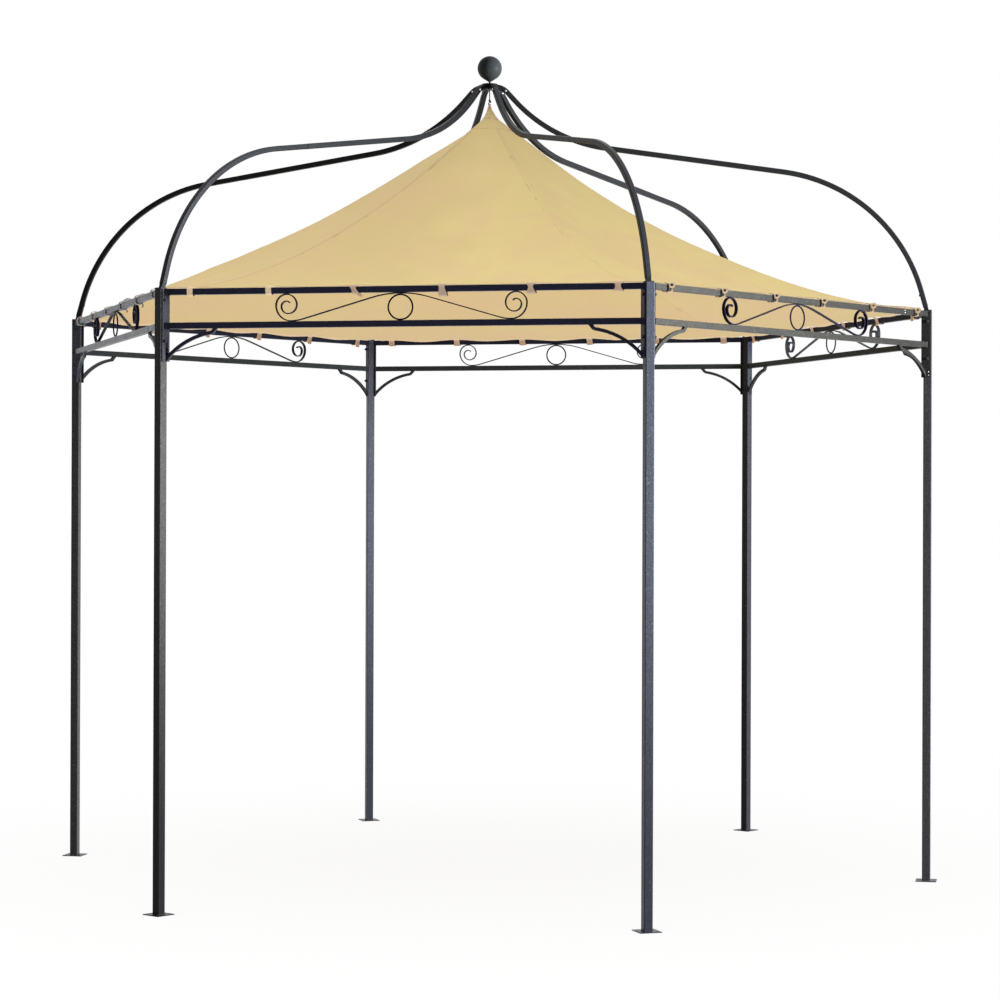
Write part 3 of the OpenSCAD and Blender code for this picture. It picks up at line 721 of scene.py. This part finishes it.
def cloth_height(x, y):
    """The even hanging curve, then the pulled hips, the hem at its straps, its droop, folds and waves."""
    gore, r, f = on_gore(x, y)
    out = min(r / CORNER_R, 1.0)
    z = HEM_Z + RISE * (1 - out) ** POWER + TIP_RISE * max(0.0, 1 - r / TIP_R)
    z -= SAG * 4 * f * (1 - f) * sin(pi * out)
    for hip, share in ((gore, 1 - f), ((gore + 1) % SIDES, f)):
        if hip in HIP_PULL:
            z += between(HIP_PULL[hip], r) * share
    edge = (CORNER_R - r) * MIDDLE_SHARE
    along = (f - 0.5) * r
    to_strap = (along / STRAP_PITCH) % 1.0 - 0.5
    beside_strap = cos(2 * pi * (to_strap + 0.5))
    tuck, reach = STRAP_TUCK
    z += tuck * exp(-edge / reach) * (0.5 - 0.5 * beside_strap)
    if gore in BACK_GORES:
        droop, reach = HEM_DROOP
        uneven = 0.5 + DROOP_UNEVEN * noise.noise(Vector((along * 4.1, gore * 3.7, 2.0)))
        dip = DROOP_EVEN + (1 - DROOP_EVEN) * (0.5 + uneven * beside_strap)
        z -= droop * exp(-edge / reach) * dip * min(1.0, DROOP_FROM_HIP * f * (1 - f))
    aside = to_strap * STRAP_PITCH
    crease, reach = STRAP_FOLD
    fold = cos(2 * pi * aside / FOLD_LENGTH) * exp(-(aside / FOLD_SPREAD) ** 2)
    z += crease * fold * exp(-edge / reach) * (1 - exp(-edge / FOLD_START))
    slack = sin(pi * out) ** SLACK_SPREAD * min(1.0, WAVES_FROM_HIP * f * (1 - f))
    for height, waves, layer in WAVES:
        z += height * slack * noise.noise(Vector((x, y, layer)) * waves)
    return z


print("cloth from", round(cloth_height(HEM_R, 0), 3), "m up to", round(cloth_height(0, 0), 3), "m")


# %% Cloth mesh
CLOTH_STEPS = 88
# a gore is longer along the cloth than in plan, and the weave follows the cloth
ALONG_CLOTH = 1.12


def six_sided(radius, steps):
    """A flat six-sided disc of even triangles, in a bmesh of its own."""
    bm = bmesh.new()
    bmesh.ops.create_circle(bm, cap_ends=True, cap_tris=True, segments=SIDES, radius=radius,
                            matrix=Matrix.Rotation(radians(TURN / 2), 4, "Z"))
    bmesh.ops.subdivide_edges(bm, edges=bm.edges[:], cuts=steps - 1, use_grid_fill=True)
    return bm


bm = six_sided(CORNER_R, CLOTH_STEPS)
uv = bm.loops.layers.uv.new("cloth")
to_hip = bm.verts.layers.float.new("to_hip")
to_hem = bm.verts.layers.float.new("to_hem")
for face in bm.faces:
    middle = face.calc_center_median()
    gore = on_gore(middle.x, middle.y)[0]
    facing = radians(TURN * gore + TURN / 2)
    for loop in face.loops:
        x, y = loop.vert.co.x, loop.vert.co.y
        up = HEM_R - (x * cos(facing) + y * sin(facing))
        loop[uv].uv = (y * cos(facing) - x * sin(facing) + 4.0 * gore, up * ALONG_CLOTH)
for vert in bm.verts:
    x, y = vert.co.x, vert.co.y
    gore, r, f = on_gore(x, y)
    vert[to_hip] = r * min(f, 1 - f) * sin(radians(TURN))
    vert[to_hem] = (CORNER_R - r) * MIDDLE_SHARE
    vert.co.z = cloth_height(x, y)
bmesh.ops.recalc_face_normals(bm, faces=bm.faces)
cloth_area = sum(face.calc_area() for face in bm.faces)
print("cloth", len(bm.verts), "points,", round(cloth_area, 3), "m2")

# %% [markdown]
# ## The cloth's finish
# Sand-coloured polyester in a plain weave with a thin waterproof coat on its back, so it looks matt with
# a faint sheen. Its top is lighter and yellower towards the right, a painted light, and darker elsewhere
# and on its underside, a painted shade, and damp has left soft pinkish clouds. A photograph of cloth
# would carry its own light and repeat, so the tones come from noise at the size of the real clouds, on
# the object's own coordinates. The threads are 0.4 mm apart, so the weave is drawn at 2.4 mm to show at
# all. Along each hip runs a felled seam, painted paler on the right than on the left as light and shade,
# with two rows of stitches that have darkened in places, and the hem is turned over once, with one row,
# its paler tone a painted highlight.


# %% Canopy cloth material
# how far each row of stitches lies from the seam or the edge, and half its width, in metres
STITCH_ROW = {"hip": (0.0082, 0.0015), "hem": (0.0240, 0.0016)}


def cloth(name, lit_tone, shade_tone, seams=True, pitch=0.0024):
    """Cloth painted lighter at the top on the right as painted light and darker elsewhere as painted shade,
    with stitches where it has seams.
    """
    material, tree, where = surface_tree(name)
    across = node(tree, "ShaderNodeSeparateXYZ", {0: where})
    faces_up = node(tree, "ShaderNodeSeparateXYZ", {0: node(tree, "ShaderNodeTexCoord").outputs["Normal"]})
    # painted light on the top towards the right, painted shade elsewhere and mostly on the underside
    top_share = node(tree, "ShaderNodeMapRange", {0: faces_up.outputs["Z"], 1: -0.1, 2: 0.1, 3: 0.2})
    side = node(tree, "ShaderNodeMapRange", {0: across.outputs["X"], 1: -0.30, 2: 0.34},
                interpolation_type="SMOOTHSTEP")
    blotch = node(tree, "ShaderNodeTexNoise",
                  {"Vector": where, "Scale": 2.6, "Detail": 5.0, "Roughness": 0.55})
    drift = node(tree, "ShaderNodeMapRange", {0: blotch.outputs["Fac"], 1: 0.3, 2: 0.7, 3: -0.50, 4: 0.50})
    share = node(tree, "ShaderNodeMath", {0: side.outputs[0], 1: drift.outputs[0]}, operation="ADD",
                 use_clamp=True)
    painted_light_share = node(tree, "ShaderNodeMath", {0: share.outputs[0], 1: top_share.outputs[0]},
                    operation="MULTIPLY")
    tone = node(tree, "ShaderNodeMix",
                {"Factor": painted_light_share.outputs[0], "A": linear(shade_tone), "B": linear(lit_tone)}, data_type="RGBA")
    damp = node(tree, "ShaderNodeTexNoise", {"Vector": where, "Scale": 3.4, "Detail": 3.0, "Distortion": 0.6})
    blush = node(tree, "ShaderNodeMapRange", {0: damp.outputs["Fac"], 1: 0.46, 2: 0.58, 3: 0.0, 4: 0.28})
    tone = node(tree, "ShaderNodeMix",
                {"Factor": blush.outputs[0], "A": tone.outputs["Result"], "B": linear("#E0BA92")},
                data_type="RGBA")
    flat = node(tree, "ShaderNodeUVMap", uv_map="cloth").outputs[0] if seams else where
    # at scale 1 the bands repeat every 2 pi / 20 m, and here once for an over and an under
    bands = 2 * pi / 20 / (2 * pitch)
    weft, warp = [
        node(tree, "ShaderNodeTexWave", {"Vector": flat, "Scale": bands, "Distortion": 0.4, "Detail": 1.0},
             bands_direction=direction).outputs["Fac"]
        for direction in ("X", "Y" if seams else "Z")]
    weave = node(tree, "ShaderNodeMath", {0: weft, 1: warp}, operation="MULTIPLY")
    thread = node(tree, "ShaderNodeMapRange", {0: weave.outputs[0], 1: 0.0, 2: 1.0, 3: 0.955, 4: 1.02})
    colour = node(tree, "ShaderNodeVectorMath", {0: tone.outputs["Result"], 1: thread.outputs[0]},
                  operation="MULTIPLY")
    shown = colour.outputs[0]
    if seams:
        hip = node(tree, "ShaderNodeAttribute", attribute_name="to_hip").outputs["Fac"]
        hem = node(tree, "ShaderNodeAttribute", attribute_name="to_hem").outputs["Fac"]
        wear = node(tree, "ShaderNodeTexNoise", {"Vector": where, "Scale": 15.0, "Detail": 2.0})
        wear_and_shade = node(tree, "ShaderNodeMapRange", {0: wear.outputs["Fac"], 1: 0.60, 2: 0.68, 3: 0.05, 4: 0.55})
        for source, (at, half), dark in ((hip, STITCH_ROW["hip"], wear_and_shade.outputs[0]),
                                         (hem, STITCH_ROW["hem"], 0.16)):
            off = node(tree, "ShaderNodeMath", {0: source, 1: at}, operation="SUBTRACT")
            near = node(tree, "ShaderNodeMath", {0: off.outputs[0]}, operation="ABSOLUTE")
            line = node(tree, "ShaderNodeMapRange",
                        {0: near.outputs[0], 1: half * 0.6, 2: half * 1.8, 3: dark, 4: 0.0})
            mixed = node(tree, "ShaderNodeMix",
                         {"Factor": line.outputs[0], "A": shown, "B": linear("#8E7148")}, data_type="RGBA")
            shown = mixed.outputs["Result"]
    ripple = node(tree, "ShaderNodeTexNoise", {"Vector": where, "Scale": 22.0, "Detail": 3.0})
    slow = node(tree, "ShaderNodeBump",
                {"Height": ripple.outputs["Fac"], "Strength": 0.22, "Distance": 0.004})
    fine = node(tree, "ShaderNodeBump",
                {"Height": weave.outputs[0], "Strength": 0.20, "Distance": 0.0004,
                 "Normal": slow.outputs[0]})
    shader = node(tree, "ShaderNodeBsdfPrincipled", {
        "Base Color": shown, "Roughness": 0.78, "Specular IOR Level": 0.22, "Sheen Weight": 0.06,
        "Sheen Roughness": 0.5, "Normal": fine.outputs[0]})
    node(tree, "ShaderNodeOutputMaterial", {"Surface": shader.outputs[0]})
    return material


canopy_cloth_finish = cloth("woven_polyester_sand", "#E3CC8B", "#DAC286")
# the seam's shaded tone is darker than the cloth's, a painted shade along the hip
seam_finish = cloth("felled_polyester_seam", "#E2CA8B", "#D0B083", seams=False, pitch=0.003)
# the hem's paler tones are a painted highlight along the cloth's edge
hem_finish = cloth("turned_polyester_hem", "#EBD8A4", "#E6CE9C", seams=False, pitch=0.003)
# the straps differ in tone: cream and pinkish ones, grey ones on the left that are painted shade, and a
# dark tone that is painted shadow beside some straps and in each eye
STRAP_TONES = {
    "cream": ("#F8E2B6", "#F2DAAE"),
    "wear_and_shade": ("#D2BA9E", "#C8AE96"),
    "grey": ("#97979B", "#8E8E93"),
    "dark": ("#33302F", "#2A2727"),
}
# the dark tone is painted shade: the shadow bands beside straps and the disc in each eye
PAINTED_SHADE_TONE = list(STRAP_TONES).index("dark")
strap_finishes = [cloth(f"doubled_polyester_strap_{tone}", *pair, seams=False, pitch=0.003)
                  for tone, pair in STRAP_TONES.items()]
print("strap tones", *STRAP_TONES)

# %% Canopy object
CLOTH_T = 0.0016
canopy = new_piece("canopy_cloth", bm, canopy_cloth_finish, lit="cloth")
give_wall(canopy, "cloth_thickness", CLOTH_T, 0)
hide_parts("canopy")
print("canopy box", [[round(v, 3) for v in c] for c in (canopy.bound_box[0], canopy.bound_box[6])])

# %% [markdown]
# ## Hem, hip seams and peak
# The hem is the cloth's edge turned over to a 24 mm band, and each hip carries a felled seam. Both could
# be drawn in the cloth's material, but their thickness catches the light along the edge, so both are
# strips of a grid laid on the same height function. The peak is a second layer of cloth sewn on in a
# six-sided patch, with a gathered cone over it that takes the hook: a ring of edges is pulled up in
# steps, then pleated by a wave round it that dies out at its foot.


# %% Hem
HEM_BAND, HEM_T = 0.024, 0.0034
# the height is read a hair inside the hem, where it is always the cloth's
A_HAIR_INSIDE = 0.99999


def side_point(gore, along, inset):
    """A plan point on a gore, by its place along the side and its distance in from the hem."""
    facing = radians(TURN * gore + TURN / 2)
    out = HEM_R - inset
    return out * cos(facing) - along * sin(facing), out * sin(facing) + along * cos(facing)


bm = bmesh.new()
for gore in range(SIDES):
    made = bmesh.ops.create_grid(bm, x_segments=112, y_segments=3, size=0.5)
    for vert in made["verts"]:
        inset = (0.5 - vert.co.y) * HEM_BAND
        half = (CORNER_R / 2) * (1 - inset / HEM_R)
        x, y = side_point(gore, vert.co.x * 2 * half, inset)
        vert.co = (x, y, cloth_height(x * A_HAIR_INSIDE, y * A_HAIR_INSIDE))
bmesh.ops.remove_doubles(bm, verts=bm.verts, dist=1e-5)
bmesh.ops.recalc_face_normals(bm, faces=bm.faces)
hem = new_piece("canopy_hem", bm, hem_finish, lit="cloth")
give_wall(hem, "turned_over", HEM_T, 0)
print("hem band", HEM_BAND, "m")

# %% Hip seams
SEAM_W, SEAM_FROM, SEAM_TO = 0.013, 0.06, CORNER_R - 0.066
SEAM_LIFT, SEAM_CROWN, SEAM_T = 0.0006, 0.0003, 0.0006

bm = bmesh.new()
for hip in range(SIDES):
    a = radians(TURN * hip)
    made = bmesh.ops.create_grid(bm, x_segments=120, y_segments=4, size=0.5)
    for vert in made["verts"]:
        r = SEAM_FROM + (SEAM_TO - SEAM_FROM) * (vert.co.x + 0.5)
        aside = vert.co.y * SEAM_W
        x, y = r * cos(a) - aside * sin(a), r * sin(a) + aside * cos(a)
        vert.co = (x, y, cloth_height(x, y) + SEAM_LIFT + SEAM_CROWN * (1 - 4 * vert.co.y ** 2))
bmesh.ops.recalc_face_normals(bm, faces=bm.faces)
for face in bm.faces:
    if face.normal.z < 0:
        face.normal_flip()
seams = new_piece("hip_seams", bm, seam_finish, lit="cloth")
give_wall(seams, "felled", SEAM_T, 0)
print("hip seams", round(SEAM_TO - SEAM_FROM, 3), "m in plan")

# %% Peak patch and gathered cone
PATCH_R, PATCH_LIFT, PATCH_T = 0.098, 0.0016, 0.0012
PLEATS, PLEAT_DEPTH, PLEAT_FOOT_R, PLEAT_FADE = 12, 0.13, 0.040, 0.012
# outside its throat the cone stays this far over the cloth
THROAT_R, CONE_CLEAR = 0.010, 0.0028
# radius and height of each ring of the cone, from its foot up
CONE_RINGS = ((0.036, 3.006), (0.028, 3.010), (0.020, 3.018), (0.0155, 3.028), (0.0115, 3.042),
              (0.0080, 3.056), (0.0055, 3.067), (0.0042, 3.0715), (0.0025, 3.0722))

bm = six_sided(PATCH_R, 24)
for vert in bm.verts:
    vert.co.z = cloth_height(vert.co.x, vert.co.y) + PATCH_LIFT
bmesh.ops.recalc_face_normals(bm, faces=bm.faces)
patch = new_piece("peak_patch", bm, canopy_cloth_finish, lit="cloth")
patch.data.uv_layers.new(name="cloth")
give_wall(patch, "second_layer", PATCH_T, 0)

bm = bmesh.new()
bmesh.ops.create_circle(bm, segments=72, radius=CONE_RINGS[0][0])
ring = bm.edges[:]
for (r0, z0), (r1, z1) in zip(CONE_RINGS, CONE_RINGS[1:]):
    grown = bmesh.ops.extrude_edge_only(bm, edges=ring)["geom"]
    verts, ring = only(bmesh.types.BMVert, grown), only(bmesh.types.BMEdge, grown)
    bmesh.ops.scale(bm, vec=(r1 / r0, r1 / r0, 1), verts=verts)
    bmesh.ops.translate(bm, vec=(0, 0, z1 - z0), verts=verts)
for vert in bm.verts:
    r = hypot(vert.co.x, vert.co.y)
    angle = atan2(vert.co.y, vert.co.x)
    pleat = 1 + PLEAT_DEPTH * sin(PLEATS * angle) * min(1.0, (PLEAT_FOOT_R - r) / PLEAT_FADE)
    vert.co.x *= pleat
    vert.co.y *= pleat
    vert.co.z += CONE_RINGS[0][1]
    if r > THROAT_R:
        vert.co.z = max(vert.co.z, cloth_height(vert.co.x, vert.co.y) + CONE_CLEAR)
bmesh.ops.contextual_create(bm, geom=ring)
bmesh.ops.recalc_face_normals(bm, faces=bm.faces)
# the cone's darker, pinker tones are painted shade
cone_finish = cloth("gathered_polyester_peak", "#D8B592", "#C8A480", seams=False)
cone = new_piece("gathered_cone", bm, cone_finish, lit="cloth")
smooth = cone.modifiers.new("round", "SUBSURF")
smooth.levels = smooth.render_levels = 1
print("peak top", round(max(v.co.z for v in cone.data.vertices), 4))

# %% [markdown]
# ## Straps
# Along each side six straps of doubled cloth loop round the upper rail and are sewn to the hem with
# both ends. They aren't tight: some bulge over the rail, some are drawn in at the middle where they
# turn under it, and on sides 1 to 4 a short end hangs out behind. On side 6 they are narrow and end in
# a slack eye with a dark disc in it as painted shade, sides 4 and 6 have thin dark bands beside them as
# painted shadows, the hem has slipped over the rail of side 4 in folds, grey with its straps as painted
# shade, and a torn ribbon hangs from the third strap at the front. A simulation would settle them all
# alike, and here each has its own slack. So each strap is a narrow grid wrapped round one line of points
# in the side's section, then thickened and smoothed, with small random differences.

# %% One strap's line, as (out, up) from the middle of the rail in millimetres
STRAP_LINE = ((-33, 16.6), (-25, 17.6), (-16, 17.4), (-6, 16.4), (3, 15.4), (10.5, 13.8), (13.6, 10),
              (14.0, 2), (13.8, -6), (12.6, -11.6), (7.5, -14.2), (0, -14.4), (-7.5, -14.2),
              (-12.6, -11.8), (-14.0, -5), (-15.2, 3), (-20, 9.5), (-26, 12.6), (-33, 13.0))
# the painted shadow band beside a strap leaves out the ends that run in under the cloth
SHADOW_BAND_LINE = [(out * 1.03, up) for out, up in STRAP_LINE[3:16]]
SHADOW_BAND_W, SHADOW_BAND_OFF, SHADOW_BAND_SIDES = 0.007, 0.0175, (4, 6)
STRAP_TAIL = ((-13.6, -10.5), (-14.4, -15), (-15.6, -20), (-16.0, -25), (-15.0, -30))
TAIL_TOP = STRAP_TAIL[0][1]
STRAPS_EACH = 6
STRAP_PLACES = [(i - (STRAPS_EACH - 1) / 2) * STRAP_PITCH for i in range(STRAPS_EACH)]
STRAP_T = 0.0015
# widths as shares of a strap's, for the tails and for the straps that end in an eye
TAIL_SHARE, EYED_SHARE, EYED_ASIDE = 0.86, 0.42, 0.0025
STRAP_SETS = {
    # side: bulge over the rail in mm, tail length, each strap's tone as its place in STRAP_TONES,
    # and how far each has been pushed along the rail in mm
    1: (2.5, 0.6, "111111", (0, 0, 0, 0, 0, 0)),
    2: (1.5, 0.4, "111111", (0, 0, 0, 0, 0, 0)),
    3: (2.0, 0.7, "111111", (0, 0, 0, 0, 0, 0)),
    # side 4's straps and slipped folds are grey as painted shade
    4: (4.5, 1.0, "222222", (0, 0, 0, 0, 0, 0)),
    5: (1.0, 0.0, "001111", (9, -10, -8, -2, 2, 0)),
    6: (3.0, 0.0, "000000", (0.5, -3.5, 1, -1.5, 11.5, 8)),
}
# front straps one by one: width, how far drawn in at the middle, hang under the rail and lean in mm
FRONT = ((0.78, 0.0, 1.0, 0.0), (0.78, 0.02, 0.0, 0.0), (0.95, 0.45, 1.0, -7.0),
         (1.10, 0.50, 12.0, -1.0), (1.18, 0.74, 6.5, -1.0), (1.18, 0.60, 2.0, 0.5))
# length along the rail and height of the slipped hem at each strap of side 4, in mm
SLIPPED = ((60, 7), (70, 7), (110, 9), (150, 18), (120, 12), (50, 8))
# the torn ribbon, as (out, along, up) in mm, and its width
RIBBON_LINE = ((15.6, -1, 5), (17.0, 3, -2), (17.4, 8, -9), (17.0, 14, -15), (16.4, 21, -20), (15.8, 30, -24))
RIBBON_W = 10.0
print("a strap is", round(sum(hypot(a[0] - b[0], a[1] - b[1]) for a, b in zip(STRAP_LINE, STRAP_LINE[1:]))),
      "mm long round the rail")


# %% Wrap a strap
# half of what a loop round the rail takes up, and how far its faces stand from the middle, in mm
LOOP_HALF, LOOP_REACH = 13, 14
# how far the middle of a strap bulges across its width, may skew and may lean, in mm
CUPPED, SKEW, SWAY = 0.9, 2.0, 1.2
# behind the rail a strap is drawn in by this share of what it is in front
PINCH_BEHIND = 0.4


def tint(verts, tone):
    """Gives the faces round the vertices one of the strap finishes."""
    for face in {f for v in verts for f in v.link_faces}:
        face.material_index = tone


def wrap(bm, line, width, place, rng, pinch, tone, lean=0.0):
    """Adds a grid along the line, across the width, and moves it to its place on the side."""
    rows = len(line) - 1
    made = bmesh.ops.create_grid(bm, x_segments=rows, y_segments=4, size=0.5)
    skew, lean = rng.uniform(-SKEW, SKEW), lean + rng.uniform(-SWAY, SWAY)
    for vert in made["verts"]:
        i = round((vert.co.x + 0.5) * rows)
        out, up = line[i]
        middle = sin(pi * i / rows)
        narrow = 1 - pinch * max(0.0, 1 - abs(up) / LOOP_HALF) * (1 if out > 0 else PINCH_BEHIND)
        along = vert.co.y * width * 1000 * narrow + skew * middle + lean * up / LOOP_REACH
        cup = CUPPED * (1 - 4 * vert.co.y ** 2) * middle
        away = Vector((out, up)).normalized() * cup
        vert.co = place @ Vector(((out + away.x) / 1000, along / 1000, (up + away.y) / 1000))
    tint(made["verts"], tone)


def ribbon(bm, path, width, place, tone):
    """A loose end that lies in the plane of the side: path is (out, along, up) in millimetres."""
    last = len(path) - 1
    made = bmesh.ops.create_grid(bm, x_segments=last, y_segments=2, size=0.5)
    for vert in made["verts"]:
        i = round((vert.co.x + 0.5) * last)
        onward = Vector(path[min(i + 1, last)]) - Vector(path[max(i - 1, 0)])
        across = onward.cross(Vector((1, 0, 0))).normalized()
        vert.co = place @ ((Vector(path[i]) + across * vert.co.y * width) / 1000)
    tint(made["verts"], tone)


# %% Slack eyes and slipped folds
EYE_AT, EYE_TURN, EYE_SQUASH = (0.0165, -0.002, 0.0095), -40, 0.86
EYE_R, EYE_ROLL_R, EYE_SHADE_R = 0.0092, 0.0035, 0.0062
# while a ring is made round the origin, no other vertex is as near to it as this
NEAR_ORIGIN = 0.015
# the slipped fold starts behind the rail, crosses it, and turns down past it, in mm
FOLD_BEHIND, FOLD_ACROSS, FOLD_UP, FOLD_DOWN = -24, 37, 12.5, 5.0
# its distance from the strap in mm, and where along it is highest
FOLD_ASIDE, FOLD_TOP = 4, 0.18


def tie_ring(bm, place, tone):
    """The slack eye that the strap makes where its end is drawn through, a soft ring of rolled cloth, with a
    flattened dark disc in it as painted shade.
    """
    turned = place @ Matrix.Translation(EYE_AT) @ Matrix.Rotation(radians(EYE_TURN), 4, "Z") \
        @ Matrix.Diagonal((1, 1, EYE_SQUASH, 1))
    made = bmesh.ops.create_circle(bm, segments=10, radius=EYE_ROLL_R,
                                   matrix=Matrix.Translation((0, EYE_R, 0)) @ Matrix.Rotation(pi, 4, "Y"))
    edges = list({e for v in made["verts"] for e in v.link_edges})
    bmesh.ops.spin(bm, geom=made["verts"] + edges, cent=(0, 0, 0), axis=(1, 0, 0), angle=2 * pi, steps=22,
                   use_merge=True)
    verts = list({v for f in bm.faces for v in f.verts if v.co.length < NEAR_ORIGIN})
    bmesh.ops.transform(bm, matrix=turned, verts=verts)
    tint(verts, tone)
    # a flattened dark disc fills the eye as painted shade
    shade_disc = bmesh.ops.create_uvsphere(bm, u_segments=12, v_segments=6, radius=EYE_SHADE_R,
                                     matrix=turned @ Matrix.Diagonal((0.25, 1, 1, 1)))
    tint(shade_disc["verts"], PAINTED_SHADE_TONE)


def slipped_hem(bm, place, length, height, tone):
    """A loose fold of the hem that has slipped over the rail, highest near the strap."""
    made = bmesh.ops.create_grid(bm, x_segments=14, y_segments=5, size=0.5)
    for vert in made["verts"]:
        share, over = vert.co.x + 0.5, vert.co.y + 0.5
        ridge = min(share / FOLD_TOP, (1 - share) / (1 - FOLD_TOP)) * sin(pi * min(1.0, 0.25 + over * 0.75))
        drop = FOLD_DOWN * max(0.0, over - 0.75) / 0.25
        vert.co = place @ (Vector((FOLD_BEHIND + FOLD_ACROSS * over, FOLD_ASIDE + length * share,
                                   FOLD_UP + height * ridge - drop)) / 1000)
    tint(made["verts"], tone)


# %% All straps
FIRST_SEED = 40
# the bulge sits a little outside the rail's middle and starts above it, and the hang comes in under it
BULGE_AT, BULGE_HALF, BULGE_OUT, BULGE_ABOVE = 2, 15, 0.25, 8
HANG_BELOW, HANG_FULL = 4, 6
# what differs from strap to strap: its place in metres, and shares of its bulge, pinch and tail
STRAY, SWELLS, PINCH, PINCHES, TAILS = 0.003, (0.7, 1.25), 0.13, (0.6, 1.4), (0.7, 1.1)
EYED_PINCH = 0.2


def slack_line(swell, hang):
    """The strap's line with its top bulging over the rail and its underside hanging below, in mm."""
    line = []
    for out, up in STRAP_LINE:
        over = swell * max(0.0, 1 - ((out - BULGE_AT) / BULGE_HALF) ** 2)
        under = -hang * min(1.0, max(0.0, (-up - HANG_BELOW) / HANG_FULL))
        pushed_out = BULGE_OUT * swell * max(0.0, out) / LOOP_HALF
        line.append((out + pushed_out, up + (over if up > BULGE_ABOVE else under)))
    return line


for k, (bulge, tail, tones, pushes) in STRAP_SETS.items():
    rng = random.Random(FIRST_SEED + k)
    bm = bmesh.new()
    for i, (along, pushed) in enumerate(zip(STRAP_PLACES, pushes)):
        tone = int(tones[i])
        strayed = pushed / 1000 + rng.uniform(-STRAY, STRAY)
        place = to_side(k) @ Matrix.Translation((SIDE_MID_R, along + strayed, UPPER_RAIL_Z))
        swell = bulge * rng.uniform(*SWELLS)
        wide, pinch, hang, lean = FRONT[i] if k == 5 else (1.0, PINCH * rng.uniform(*PINCHES), 0.0, 0.0)
        line = slack_line(swell, hang)
        if k == 6:
            tie_ring(bm, place, tone)
            beside = place @ Matrix.Translation((0, EYED_ASIDE, 0))
            wrap(bm, line, STRAP_W * EYED_SHARE, beside, rng, EYED_PINCH, tone)
        else:
            wrap(bm, line, STRAP_W * wide, place, rng, pinch, tone, lean)
        # a thin dark band beside the strap, a painted shadow
        if k in SHADOW_BAND_SIDES:
            beside = place @ Matrix.Translation((0, -SHADOW_BAND_OFF, 0))
            wrap(bm, SHADOW_BAND_LINE, SHADOW_BAND_W, beside, rng, 0.0, PAINTED_SHADE_TONE)
        if k == 4:
            slipped_hem(bm, place, *SLIPPED[i], tone)
        if tail:
            length = tail * rng.uniform(*TAILS)
            ends = [(out, TAIL_TOP + (up - TAIL_TOP) * length) for out, up in STRAP_TAIL]
            wrap(bm, ends, STRAP_W * TAIL_SHARE, place, rng, 0.0, tone)
        if (k, i) == (5, 2):
            ribbon(bm, RIBBON_LINE, RIBBON_W, place, tone)
    bmesh.ops.recalc_face_normals(bm, faces=bm.faces)
    strap_set = new_piece(f"strap_set_{k}", bm, strap_finishes[0], lit="cloth")
    for finish in strap_finishes[1:]:
        strap_set.data.materials.append(finish)
    wall = strap_set.modifiers.new("doubled_cloth", "SOLIDIFY")
    wall.thickness = STRAP_T
    wall.offset = 0
    smooth = strap_set.modifiers.new("soft", "SUBSURF")
    smooth.levels = smooth.render_levels = 1
    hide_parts(f"straps_{k}")
print("straps", SIDES * len(STRAP_PLACES))
